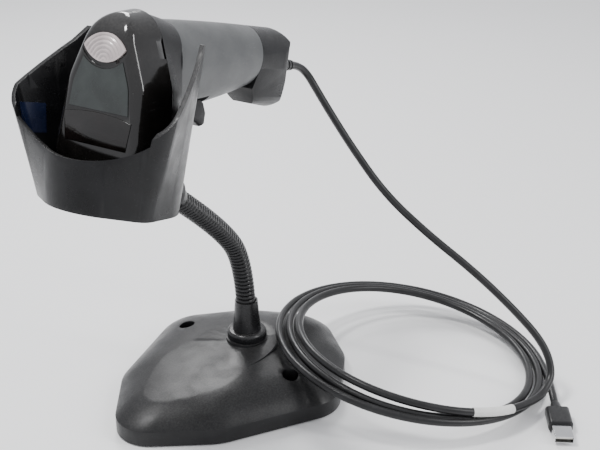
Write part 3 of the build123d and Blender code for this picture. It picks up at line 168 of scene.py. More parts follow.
def grain_group() -> bpy.types.NodeTree:
    """Moulded or coated surface texture: fine spark grain over a slight waviness.

    Returns:
        The node group, with Vector, Scale, Depth and Wave inputs and a Normal output.
    """
    group, given, result = new_group(
        "spark_grain",
        {
            "Vector": ("NodeSocketVector", 0.0),
            "Scale": ("NodeSocketFloat", 2500.0),
            "Depth": ("NodeSocketFloat", 0.1),
            "Wave": ("NodeSocketFloat", 0.02),
        },
        {"Normal": "NodeSocketVector"},
    )
    link = group.links.new
    fine = group.nodes.new("ShaderNodeTexNoise")
    fine.inputs["Detail"].default_value = 3.0
    link(given.outputs["Vector"], fine.inputs["Vector"])
    link(given.outputs["Scale"], fine.inputs["Scale"])
    broad = group.nodes.new("ShaderNodeTexNoise")
    broad.inputs["Scale"].default_value = 45.0
    link(given.outputs["Vector"], broad.inputs["Vector"])
    wave = group.nodes.new("ShaderNodeBump")
    wave.inputs["Distance"].default_value = 0.002
    link(given.outputs["Wave"], wave.inputs["Strength"])
    link(broad.outputs["Fac"], wave.inputs["Height"])
    bump = group.nodes.new("ShaderNodeBump")
    bump.inputs["Distance"].default_value = 0.0002
    link(given.outputs["Depth"], bump.inputs["Strength"])
    link(fine.outputs["Fac"], bump.inputs["Height"])
    link(wave.outputs["Normal"], bump.inputs["Normal"])
    link(bump.outputs["Normal"], result.inputs["Normal"])
    return group


def wear_group() -> bpy.types.NodeTree:
    """Handling marks: smudges, and hairline scratches that run in several directions.

    Returns:
        The node group, with Vector and Scratches inputs and Smudge and Scratch outputs.
    """
    group, given, result = new_group(
        "handling_wear",
        {"Vector": ("NodeSocketVector", 0.0), "Scratches": ("NodeSocketFloat", 0.3)},
        {"Smudge": "NodeSocketFloat", "Scratch": "NodeSocketFloat"},
    )
    link = group.links.new
    smudge = group.nodes.new("ShaderNodeTexNoise")
    smudge.inputs["Scale"].default_value = 60.0
    smudge.inputs["Detail"].default_value = 5.0
    smudge.inputs["Roughness"].default_value = 0.6
    link(given.outputs["Vector"], smudge.inputs["Vector"])
    spread = group.nodes.new("ShaderNodeMapRange")
    spread.inputs["From Min"].default_value = 0.4
    spread.inputs["From Max"].default_value = 0.68
    link(smudge.outputs["Fac"], spread.inputs["Value"])
    link(spread.outputs["Result"], result.inputs["Smudge"])
    stretch = group.nodes.new("ShaderNodeMapping")
    stretch.inputs["Rotation"].default_value = (0.5, 0.9, 0.3)
    stretch.inputs["Scale"].default_value = (1500.0, 45.0, 1500.0)
    link(given.outputs["Vector"], stretch.inputs["Vector"])
    lines = group.nodes.new("ShaderNodeTexNoise")
    lines.inputs["Scale"].default_value = 1.0
    lines.inputs["Detail"].default_value = 2.0
    link(stretch.outputs["Vector"], lines.inputs["Vector"])
    thin = group.nodes.new("ShaderNodeMapRange")
    thin.inputs["From Min"].default_value = 0.66
    thin.inputs["From Max"].default_value = 0.74
    link(lines.outputs["Fac"], thin.inputs["Value"])
    scale = group.nodes.new("ShaderNodeMath")
    scale.operation = "MULTIPLY"
    link(thin.outputs["Result"], scale.inputs[0])
    link(given.outputs["Scratches"], scale.inputs[1])
    link(scale.outputs["Value"], result.inputs["Scratch"])
    return group


def dust_group() -> bpy.types.NodeTree:
    """Fine dust that settles on faces that look up.

    Returns:
        The node group, with Vector and Amount inputs and a Dust output.
    """
    group, given, result = new_group(
        "settled_dust",
        {"Vector": ("NodeSocketVector", 0.0), "Amount": ("NodeSocketFloat", 0.1)},
        {"Dust": "NodeSocketFloat"},
    )
    link = group.links.new
    specks = group.nodes.new("ShaderNodeTexNoise")
    specks.inputs["Scale"].default_value = 900.0
    specks.inputs["Detail"].default_value = 6.0
    link(given.outputs["Vector"], specks.inputs["Vector"])
    geometry = group.nodes.new("ShaderNodeNewGeometry")
    split = group.nodes.new("ShaderNodeSeparateXYZ")
    link(geometry.outputs["Normal"], split.inputs["Vector"])
    level = group.nodes.new("ShaderNodeMapRange")
    level.inputs["From Min"].default_value = 0.3
    link(split.outputs["Z"], level.inputs["Value"])
    shaped = group.nodes.new("ShaderNodeMapRange")
    shaped.inputs["From Min"].default_value = 0.35
    shaped.inputs["From Max"].default_value = 0.75
    link(specks.outputs["Fac"], shaped.inputs["Value"])
    both = group.nodes.new("ShaderNodeMath")
    both.operation = "MULTIPLY"
    link(level.outputs["Result"], both.inputs[0])
    link(shaped.outputs["Result"], both.inputs[1])
    amount = group.nodes.new("ShaderNodeMath")
    amount.operation = "MULTIPLY"
    link(both.outputs["Value"], amount.inputs[0])
    link(given.outputs["Amount"], amount.inputs[1])
    link(amount.outputs["Value"], result.inputs["Dust"])
    return group


class Groups:
    """The shared shader groups, made once."""

    _made: dict[str, bpy.types.NodeTree] = {}

    @classmethod
    def get(cls, name: str) -> bpy.types.NodeTree:
        """Hands out a group, and makes it at its first use.

        Args:
            name: grain, wear or dust.

        Returns:
            The node group.
        """
        makers = {"grain": grain_group, "wear": wear_group, "dust": dust_group}
        if name not in cls._made:
            cls._made[name] = makers[name]()
        return cls._made[name]


# ---------------------------------------------------------------- finishes
@dataclass(frozen=True)
class Finish:
    """A surface finish: two close colours that a pattern mixes, a roughness range and a grain."""

    slot: str
    dark: Colour
    light: Colour
    smooth: float
    rough: float
    grain_scale: float = 2500.0
    grain_depth: float = 0.1
    wave: float = 0.02
    metallic: float = 0.0
    specular: float = 0.5
    coat: float = 0.0
    coat_roughness: float = 0.08
    transmission: float = 0.0
    alpha: float = 1.0
    scratches: float = 0.3
    dust: float = 0.08
    pattern: Pattern = Pattern.CLOUD
    pattern_scale: float = 70.0

    def material(self) -> bpy.types.Material:
        """Builds the finish's material.

        Returns:
            The node material, with a Principled BSDF driven by the shared groups.
        """
        material = bpy.data.materials.get(self.slot + "_finish")
        if material is not None:
            return material
        material = bpy.data.materials.new(self.slot + "_finish")
        material.use_nodes = True
        nodes, link = material.node_tree.nodes, material.node_tree.links.new
        shader = nodes["Principled BSDF"]
        where = nodes.new("ShaderNodeTexCoord").outputs["Object"]
        colour = self.base_colour(nodes, link, where)
        wear = nodes.new("ShaderNodeGroup")
        wear.node_tree = Groups.get("wear")
        wear.inputs["Scratches"].default_value = self.scratches
        link(where, wear.inputs["Vector"])
        scuffed = nodes.new("ShaderNodeMix")
        scuffed.data_type = "RGBA"
        scuffed.inputs["B"].default_value = (*[min(1.0, c * 1.6 + 0.05) for c in self.light], 1.0)
        link(wear.outputs["Scratch"], scuffed.inputs["Factor"])
        link(colour, scuffed.inputs["A"])
        dust = nodes.new("ShaderNodeGroup")
        dust.node_tree = Groups.get("dust")
        dust.inputs["Amount"].default_value = self.dust
        link(where, dust.inputs["Vector"])
        dusty = nodes.new("ShaderNodeMix")
        dusty.data_type = "RGBA"
        dusty.inputs["B"].default_value = (0.42, 0.41, 0.39, 1.0)
        link(dust.outputs["Dust"], dusty.inputs["Factor"])
        link(scuffed.outputs["Result"], dusty.inputs["A"])
        link(dusty.outputs["Result"], shader.inputs["Base Color"])
        span = nodes.new("ShaderNodeMapRange")
        span.inputs["To Min"].default_value = self.smooth
        span.inputs["To Max"].default_value = self.rough
        link(wear.outputs["Smudge"], span.inputs["Value"])
        link(span.outputs["Result"], shader.inputs["Roughness"])
        grain = nodes.new("ShaderNodeGroup")
        grain.node_tree = Groups.get("grain")
        grain.inputs["Scale"].default_value = self.grain_scale
        grain.inputs["Depth"].default_value = self.grain_depth
        grain.inputs["Wave"].default_value = self.wave
        link(where, grain.inputs["Vector"])
        link(grain.outputs["Normal"], shader.inputs["Normal"])
        shader.inputs["Metallic"].default_value = self.metallic
        shader.inputs["Specular IOR Level"].default_value = self.specular
        shader.inputs["Coat Weight"].default_value = self.coat
        shader.inputs["Coat Roughness"].default_value = self.coat_roughness
        shader.inputs["Transmission Weight"].default_value = self.transmission
        shader.inputs["Alpha"].default_value = self.alpha
        return material

    def base_colour(
        self, nodes: bpy.types.Nodes, link: Callable, where: bpy.types.NodeSocket
    ) -> bpy.types.NodeSocket:
        """Mixes the two colours by the finish's pattern.

        Args:
            nodes: the material's nodes.
            link: the function that links two sockets.
            where: the coordinate socket.

        Returns:
            The colour socket.
        """
        if self.pattern is Pattern.STREAK:
            stretch = nodes.new("ShaderNodeMapping")
            stretch.inputs["Scale"].default_value = (1.0, 1.0, 12.0)
            link(where, stretch.inputs["Vector"])
            where = stretch.outputs["Vector"]
        noise = nodes.new("ShaderNodeTexNoise")
        noise.inputs["Scale"].default_value = self.pattern_scale
        noise.inputs["Detail"].default_value = 8.0 if self.pattern is Pattern.SPECKLE else 4.0
        link(where, noise.inputs["Vector"])
        ramp = nodes.new("ShaderNodeValToRGB")
        ramp.color_ramp.elements[0].position = 0.35
        ramp.color_ramp.elements[0].color = (*self.dark, 1.0)
        ramp.color_ramp.elements[1].position = 0.7
        ramp.color_ramp.elements[1].color = (*self.light, 1.0)
        link(noise.outputs["Fac"], ramp.inputs["Fac"])
        return ramp.outputs["Color"]


FINISHES = {
    f.slot: f
    for f in (
        Finish(
            "gloss_black", (0.0035, 0.0032, 0.003), (0.008, 0.007, 0.0065),
            0.09, 0.2, 900, 0.02, 0.05, specular=0.45, coat=0.35,
        ),
        Finish(
            "grip_grey", (0.075, 0.078, 0.079), (0.098, 0.101, 0.102),
            0.38, 0.5, 3200, 0.25, 0.02, dust=0.04,
        ),
        Finish(
            "satin_black", (0.0035, 0.0035, 0.004), (0.008, 0.008, 0.009),
            0.26, 0.4, 3000, 0.3, 0.03, specular=0.3,
        ),
        Finish(
            "smoked_panel", (0.014, 0.018, 0.017), (0.028, 0.034, 0.032),
            0.1, 0.2, 800, 0.02, 0.02, specular=0.45, coat=0.4,
        ),
        Finish(
            "badge_brown", (0.003, 0.0025, 0.002), (0.007, 0.005, 0.0045),
            0.08, 0.18, 900, 0.02, 0.02, specular=0.4, coat=0.4,
        ),
        Finish(
            "lens_pink", (0.36, 0.31, 0.31), (0.58, 0.51, 0.50),
            0.18, 0.3, 1200, 0.02, 0.02, coat=0.6, dust=0.0,
        ),
        Finish(
            "window", (0.06, 0.006, 0.01), (0.1, 0.012, 0.016),
            0.04, 0.08, 900, 0.01, 0.0, transmission=0.6, dust=0.0,
        ),
        Finish(
            "optics", (0.5, 0.55, 0.62), (0.62, 0.66, 0.74),
            0.02, 0.05, 900, 0.01, 0.0, transmission=0.9, dust=0.0,
        ),
        Finish(
            "board_green", (0.006, 0.045, 0.018), (0.012, 0.075, 0.032),
            0.3, 0.45, 1500, 0.05, pattern=Pattern.SPECKLE,
        ),
        Finish(
            "steel", (0.46, 0.46, 0.47), (0.6, 0.6, 0.6),
            0.25, 0.42, 1800, 0.1, metallic=1.0, pattern=Pattern.STREAK,
        ),
        Finish("spring_steel", (0.4, 0.4, 0.41), (0.52, 0.52, 0.53), 0.25, 0.4, 1800, 0.08, metallic=1.0),
        Finish(
            "engine_metal", (0.03, 0.03, 0.032), (0.05, 0.05, 0.054),
            0.35, 0.5, 2500, 0.2, metallic=0.6,
        ),
        Finish(
            "led", (0.7, 0.66, 0.6), (0.85, 0.82, 0.76),
            0.05, 0.1, 900, 0.01, transmission=0.7, dust=0.0,
        ),
        Finish("polyimide", (0.42, 0.15, 0.02), (0.55, 0.22, 0.035), 0.2, 0.35, 1200, 0.05),
        Finish(
            "clear_plastic", (0.75, 0.76, 0.78), (0.85, 0.86, 0.88),
            0.05, 0.12, 900, 0.02, transmission=0.8, dust=0.0,
        ),
        Finish("white_plastic", (0.55, 0.54, 0.5), (0.66, 0.65, 0.6), 0.35, 0.5, 2500, 0.12),
        Finish("switch_black", (0.02, 0.02, 0.02), (0.035, 0.035, 0.035), 0.35, 0.5, 2500, 0.12),
        Finish(
            "neck_black", (0.004, 0.004, 0.0045), (0.010, 0.010, 0.011),
            0.22, 0.36, 2200, 0.12, specular=0.4,
        ),
        Finish(
            "black_metal", (0.004, 0.004, 0.0045), (0.010, 0.010, 0.011),
            0.2, 0.34, 2400, 0.15, specular=0.4,
        ),
        Finish(
            "base_black", (0.0045, 0.0045, 0.005), (0.009, 0.009, 0.0098),
            0.3, 0.44, 2800, 0.35, 0.04, specular=0.35, dust=0.05,
        ),
        Finish("cast_weight", (0.12, 0.115, 0.11), (0.22, 0.21, 0.2), 0.55, 0.75, 700, 0.5, metallic=0.8),
        Finish("pad_rubber", (0.012, 0.012, 0.012), (0.022, 0.022, 0.022), 0.6, 0.8, 1800, 0.4),
        Finish("nose_rubber", (0.012, 0.012, 0.012), (0.022, 0.022, 0.022), 0.55, 0.75, 1800, 0.3),
        Finish("label_blue", (0.006, 0.010, 0.032), (0.011, 0.017, 0.05), 0.2, 0.35, 1200, 0.05),
        Finish("magnet", (0.6, 0.6, 0.6), (0.7, 0.7, 0.7), 0.1, 0.2, 1200, 0.03, metallic=1.0),
        Finish(
            "cable_black", (0.006, 0.006, 0.0065), (0.013, 0.013, 0.014),
            0.28, 0.42, 2600, 0.15, specular=0.4, dust=0.04,
        ),
        Finish("usb_metal", (0.55, 0.55, 0.56), (0.66, 0.66, 0.67), 0.12, 0.25, 1500, 0.05, metallic=1.0),
    )
}
SLEEVE = Finish("label_sleeve", (0.62, 0.62, 0.60), (0.74, 0.74, 0.72), 0.3, 0.45, 1500, 0.08)


def dress(piece: bpy.types.Object, slot: str, material: bpy.types.Material | None = None) -> None:
    """Gives a piece its finish.

    Args:
        piece: the object.
        slot: the material slot of the record.
        material: the material, or None for the slot's own finish.
    """
    piece.data.materials.clear()
    piece.data.materials.append(material or FINISHES[slot].material())
    LOG.info("%s: finish %s", piece.name, slot)


def keep(form: bmesh.types.BMesh, name: str, smooth: float | None = 40.0) -> bpy.types.Object:
    """Turns a bmesh into an object at the origin.

    Args:
        form: the mesh, in metres; it is freed.
        name: the object's name.
        smooth: the angle under which edges are shaded smooth, in degrees, or None for flat.

    Returns:
        The new object.
    """
    mesh = bpy.data.meshes.new(name)
    form.to_mesh(mesh)
    form.free()
    piece = bpy.data.objects.new(name, mesh)
    bpy.context.scene.collection.objects.link(piece)
    if smooth is not None:
        mesh.shade_smooth()
        mesh.set_sharp_from_angle(angle=math.radians(smooth))
    LOG.info("%s: %d faces", name, len(mesh.polygons))
    return piece


# ---------------------------------------------------------------- cable
def nurbs(name: str, points: list[Vector], diameter: float) -> bpy.types.Object:
    """Makes a round cable along one smooth curve.

    Args:
        name: the object's name.
        points: the curve's control points, in metres.
        diameter: the cable's diameter, in metres.

    Returns:
        The curve object.
    """
    curve = bpy.data.curves.new(name, "CURVE")
    curve.dimensions = "3D"
    curve.resolution_u = 6
    curve.bevel_depth = diameter / 2
    curve.bevel_resolution = 4
    curve.use_fill_caps = True
    spline = curve.splines.new("NURBS")
    spline.points.add(len(points) - 1)
    for place, point in zip(spline.points, points):
        place.co = (*point, 1.0)
    spline.order_u = 3
    spline.use_endpoint_u = True
    piece = bpy.data.objects.new(name, curve)
    bpy.context.scene.collection.objects.link(piece)
    return piece


@dataclass
class Cable:
    """The host cable, from the grip's boot down to the table, through its loose turns and to its plug."""

    diameter: float = 5.3 * MM
    axis_y: float = 5.0
    boot_end: float = -156.0
    first_bend: float = -165.5
    drop: list[tuple[float, float, float]] = field(
        default_factory=lambda: [
            (-10.6, 73.5, 199.0),
            (-5.6, 77.0, 188.5),
            (5.5, 80.5, 171.5),
            (24.0, 82.5, 150.0),
            (49.0, 87.5, 122.0),
            (81.0, 95.0, 99.0),
            (113.0, 104.0, 79.0),
            (142.0, 111.0, 57.5),
            (163.5, 117.0, 37.0),
            (174.0, 114.0, 20.0),
            (176.0, 102.0, 12.5),
        ]
    )
    centre: tuple[float, float, float] = (84.0, 77.0, 23.4)
    tilt: tuple[float, float] = (-0.11, -0.115)
    radius: float = 88.0
    first_bearing: float = math.radians(8.0)
    turns: float = 2.92
    middle_turn: float = 1.7
    near_spread: float = 5.6
    far_spread: float = 7.2
    landing_out: float = 5.0
    landing_turn: float = 0.16
    wobble: float = 0.5
    near_drop: float = 5.2
    far_rise: float = 2.6
    far_fall: float = 2.2
    crossing_rise: float = 6.0
    crossing_turn: float = 0.15
    crossing_length: float = 0.25
    lowest: float = 3.2
    steps: int = 18
    label: tuple[float, float, float] = (0.170, 0.050, 0.016)
    sleeve_gap: float = 0.35 * MM
    sleeve_wall: float = 0.3 * MM
    tail: list[tuple[float, float, float]] = field(
        default_factory=lambda: [(172.0, 117.5, 6.0), (184.0, 102.5, 4.5)]
    )

    def route(self) -> list[Vector]:
        """Places the hanging part.

        Returns:
            The control points from the boot on, in metres.
        """
        start = PLACE.point(0, self.axis_y, self.boot_end)
        second = PLACE.point(0, self.axis_y, self.first_bend)
        return [start, second] + [Vector(p) * MM for p in self.drop]

    def lane(self, turn: float, bearing: float) -> tuple[float, float]:
        """Where a strand lies in the coil's section.

        Args:
            turn: how many turns have been laid so far.
            bearing: the direction from the coil's centre, in radians.

        Returns:
            The offsets outwards and upwards from the coil's mean line, in millimetres.
        """
        near = 0.5 + 0.5 * math.cos(bearing - self.first_bearing)
        out = (turn - self.middle_turn) * (self.near_spread * near + self.far_spread * (1 - near))
        out += (self.landing_out - out) * math.exp(-((turn / self.landing_turn) ** 2))
        out += self.wobble * math.sin(2.7 * bearing + 1.3 * turn)
        rise = -self.near_drop * near + (self.far_rise - self.far_fall * turn) * (1 - near)
        crossing = (turn - self.crossing_turn) / self.crossing_length
        rise += self.crossing_rise * math.exp(-(crossing**2))
        return out, rise

    def coil_route(self) -> list[Vector]:
        """Lays the loose turns clockwise, fanned out on the side away from the plug.

        Returns:
            The control points, in metres.
        """
        points = []
        count = round(self.turns * self.steps)
        for step in range(count + 1):
            turn = self.turns * step / count
            bearing = self.first_bearing - math.tau * turn
            out, rise = self.lane(turn, bearing)
            x = (self.radius + out) * math.cos(bearing)
            y = (self.radius + out) * math.sin(bearing)
            z = self.centre[2] + self.tilt[0] * x + self.tilt[1] * y + rise
            points.append(Vector((self.centre[0] + x, self.centre[1] + y, max(z, self.lowest))) * MM)
        return points

    def build(self) -> None:
        """Builds the cable in four lengths; only the coiled length is attached to the base, the other
        three stay unattached in the model's frame.
        """
        route = self.route()
        high = (route[3] + route[4]) / 2
        low = (route[6] + route[7]) / 2
        landing = (route[10] + route[11]) / 2
        tail = [Vector(p) * MM for p in self.tail]
        sections = {
            "cord_upper": route[:4] + [high],
            "cord_hanging": [high] + route[4:7] + [low],
            "cord_lower": [low] + route[7:11] + [landing],
            "cord_coiled": [landing] + route[11:] + self.coil_route() + tail,
        }
        pieces = {name: nurbs(name, points, self.diameter) for name, points in sections.items()}
        lines = {name: centreline(piece) for name, piece in pieces.items()}
        for name in ("cord_upper", "cord_hanging", "cord_lower"):
            pieces[name] = as_mesh(pieces[name])
        for name, piece in pieces.items():
            dress(piece, "cable_black")
            LOG.info("%s: %.3f m", name, length_of(lines[name]))
        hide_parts("cord_high")
        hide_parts("cord_mid")
        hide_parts("cord_low")
        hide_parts("cord_coil", "cord_tail")
        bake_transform(pieces["cord_upper"])
        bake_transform(pieces["cord_hanging"])
        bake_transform(pieces["cord_lower"])
        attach(pieces["cord_coiled"], Body.BASE.value)
        self.sleeve(lines["cord_coiled"])

    def sleeve(self, line: list[Vector]) -> None:
        """Wraps the blank white label sleeve round the coil's outer turn.

        Args:
            line: the coiled cable's centreline.
        """
        middle = min(range(len(line)), key=lambda i: (line[i] - Vector(self.label)).length)
        radius = self.diameter / 2 + self.sleeve_gap
        form = bmesh.new()
        rings = []
        for index in range(middle - 3, middle + 4):
            along = (line[index + 1] - line[index - 1]).normalized()
            turn = along.to_track_quat("Z", "Y").to_matrix().to_4x4()
            place = Matrix.Translation(line[index]) @ turn
            made = bmesh.ops.create_circle(form, segments=20, radius=radius, matrix=place)
            rings.append(list({e for v in made["verts"] for e in v.link_edges}))
        for first, second in zip(rings, rings[1:]):
            bmesh.ops.bridge_loops(form, edges=first + second)
        bmesh.ops.solidify(form, geom=form.faces[:], thickness=self.sleeve_wall)
        bmesh.ops.recalc_face_normals(form, faces=form.faces[:])
        piece = keep(form, "cord_label_sleeve")
        dress(piece, "cable_black", SLEEVE.material())
        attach(piece, Body.BASE.value)


def as_mesh(cord: bpy.types.Object) -> bpy.types.Object:
    """Turns a cable's curve into a mesh tube of the same name.

    Args:
        cord: the curve object, which is removed.

    Returns:
        The mesh object.
    """
    name = cord.name
    bpy.context.view_layer.update()
    evaluated = cord.evaluated_get(bpy.context.evaluated_depsgraph_get())
    mesh = bpy.data.meshes.new_from_object(evaluated)
    spare = cord.data
    bpy.data.objects.remove(cord)
    bpy.data.curves.remove(spare)
    mesh.name = name
    mesh.shade_smooth()
    piece = bpy.data.objects.new(name, mesh)
    bpy.context.scene.collection.objects.link(piece)
    return piece


def centreline(cord: bpy.types.Object) -> list[Vector]:
    """Reads the points of a cable's centreline.

    Args:
        cord: a curve object.

    Returns:
        The points, in metres.
    """
    bare = cord.copy()
    bare.data = cord.data.copy()
    bare.data.bevel_depth = 0.0
    bpy.context.scene.collection.objects.link(bare)
    bpy.context.view_layer.update()
    mesh = bpy.data.meshes.new_from_object(bare)
    line = [v.co.copy() for v in mesh.vertices]
    bpy.data.meshes.remove(mesh)
    spare = bare.data
    bpy.data.objects.remove(bare)
    bpy.data.curves.remove(spare)
    return line


def length_of(line: list[Vector]) -> float:
    """The length of a line of points, in metres."""
    return sum((b - a).length for a, b in zip(line, line[1:]))


# ---------------------------------------------------------------- gooseneck
@dataclass
class Gooseneck:
    """The spiral-wound flexible neck."""

    radius: float = 6.75
    groove: float = 0.75
    pitch: float = 3.1
    sides: int = 20
    rounding: float = 0.12
    corners: tuple[tuple[float, float], ...] = ((0, 38), (0, 81), (-23.3, 121), (-87, 171.5))
    bend_start: tuple[float, float] = (-1.0, 62.0)
    bend_end: tuple[float, float] = (-52.0, 144.0)

    def path(self) -> list[tuple[Vector, Vector]]:
        """Works out the neck's centreline and its headings.

        Returns:
            Pairs of a place and a heading, in millimetres in the neck's plane.
        """
        points = [Vector((x, 0, z)) for x, z in self.corners]
        curve = bpy.data.curves.new("neck_line", "CURVE")
        curve.dimensions = "3D"
        curve.resolution_u = 60
        spline = curve.splines.new("NURBS")
        spline.points.add(len(points) - 1)
        for place, point in zip(spline.points, points):
            place.co = (*point, 1.0)
        spline.order_u = 3
        spline.use_endpoint_u = True
        holder = bpy.data.objects.new("neck_line", curve)
        bpy.context.scene.collection.objects.link(holder)
        bpy.context.view_layer.update()
        mesh = bpy.data.meshes.new_from_object(holder)
        line = [v.co.copy() for v in mesh.vertices]
        bpy.data.meshes.remove(mesh)
        bpy.data.objects.remove(holder)
        bpy.data.curves.remove(curve)
        last = len(line) - 1
        headings = [(line[min(i + 1, last)] - line[max(i - 1, 0)]).normalized() for i in range(last + 1)]
        return list(zip(line, headings))

    def build(self) -> None:
        """Spins one turn's profile into a long spiral and bends it along the neck."""
        path = self.path()
        runs = [0.0]
        for (a, _), (b, _) in zip(path, path[1:]):
            runs.append(runs[-1] + (b - a).length)
        turns = int(runs[-1] / self.pitch)
        pitch = runs[-1] / turns
        form = bmesh.new()
        low, high = self.radius - self.groove, self.radius
        edge = high - self.rounding
        profile = ((low, 0.0), (edge, 0.16), (high, 0.5), (edge, 0.84), (low, 1.0))
        verts = [form.verts.new((r, 0, share * pitch)) for r, share in profile]
        edges = [form.edges.new(pair) for pair in zip(verts, verts[1:])]
        bmesh.ops.spin(
            form,
            geom=verts + edges,
            cent=(0, 0, 0),
            axis=(0, 0, 1),
            dvec=(0, 0, pitch / self.sides),
            angle=math.tau * (turns - 1),
            steps=self.sides * (turns - 1),
            use_duplicate=False,
        )
        bmesh.ops.remove_doubles(form, verts=form.verts[:], dist=0.01)
        bmesh.ops.recalc_face_normals(form, faces=form.faces[:])
        side = Vector((0, 1, 0))
        for vert in form.verts:
            along = min(max(vert.co.z, 0.0), runs[-1])
            index = next((i for i in range(len(runs) - 1) if runs[i + 1] >= along), len(runs) - 2)
            share = (along - runs[index]) / (runs[index + 1] - runs[index])
            place = path[index][0].lerp(path[index + 1][0], share)
            heading = path[index][1].lerp(path[index + 1][1], share).normalized()
            out = heading.cross(side) * -vert.co.x + side * vert.co.y
            spot = place + out
            vert.co = PLACE.neck_point(spot.x, spot.z) + PLACE.lateral() * spot.y * MM
        piece = keep(form, "gooseneck_spiral", 50.0)
        dress(piece, "neck_black")
        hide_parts("gooseneck_lower", "gooseneck_upper")
        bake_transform(piece)


# ---------------------------------------------------------------- scanner
@dataclass
class IndicatorLens:
    """The fan-shaped indicator lens with ridges in arcs about its lower tip."""

    top: float = 17.5
    bottom: float = 2.0
    arc: float = 16.5
    face: float = 31.6
    ridges: int = 7
    relief: float = 0.55

    def height(self, x: float, y: float) -> float:
        """The lens's surface over a place of its plan.

        Args:
            x: distance to the right, in millimetres.
            y: distance towards the tail, in millimetres.

        Returns:
            The height above the scanner's axis, in millimetres.
        """
        reach = math.hypot(x, y - self.bottom - 0.5)
        wave = abs(math.sin(reach / (self.top - self.bottom) * math.pi * self.ridges))
        edge = min(1.0, max(0.0, self.border(x, y) / 1.2))
        return self.face - 0.35 - self.drop(y) - self.relief * (1 - wave) * edge

    def drop(self, y: float) -> float:
        """How far the face has rounded off at a place, in millimetres."""
        return 0.0 if y < 10.0 else 0.0205 * (y - 10.0) ** 2

    def border(self, x: float, y: float) -> float:
        """Measures how far a place is inside the lens's outline.

        Args:
            x: distance to the right, in millimetres.
            y: distance towards the tail, in millimetres.

        Returns:
            The distance, in millimetres.
        """
        upper = self.arc - math.hypot(x, y - (self.top - self.arc))
        lower = self.arc - math.hypot(x, y - (self.bottom + self.arc))
        return min(upper, lower)

    def build(self) -> None:
        """Builds the lens as a fine grid over its outline, with a skirt down into the cover."""
        form = bmesh.new()
        bmesh.ops.create_grid(form, x_segments=110, y_segments=64, size=1.0)
        middle = (self.top + self.bottom) / 2
        half = (self.top - self.bottom) / 2
        for vert in form.verts:
            u, v = vert.co.x, vert.co.y
            y = middle + v * half
            reach = math.sqrt(max(0.0, self.arc**2 - (self.arc - half + abs(v) * half) ** 2))
            x = u * max(reach, 0.02)
            vert.co = (x, y, self.height(x, y))
        bmesh.ops.remove_doubles(form, verts=form.verts[:], dist=0.015)
        rim = [e for e in form.edges if e.is_boundary]
        skirt = bmesh.ops.extrude_edge_only(form, edges=rim)
        lowered = [g for g in skirt["geom"] if isinstance(g, bmesh.types.BMVert)]
        bmesh.ops.translate(form, verts=lowered, vec=(0, 0, -2.6))
        bmesh.ops.recalc_face_normals(form, faces=form.faces[:])
        bmesh.ops.transform(form, matrix=PLACE.matrix() @ Matrix.Scale(MM, 4), verts=form.verts[:])
        piece = keep(form, "indicator_lens_ridged", 60.0)
        dress(piece, "lens_pink")
        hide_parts("indicator_lens")
        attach(piece, Body.SCANNER.value)


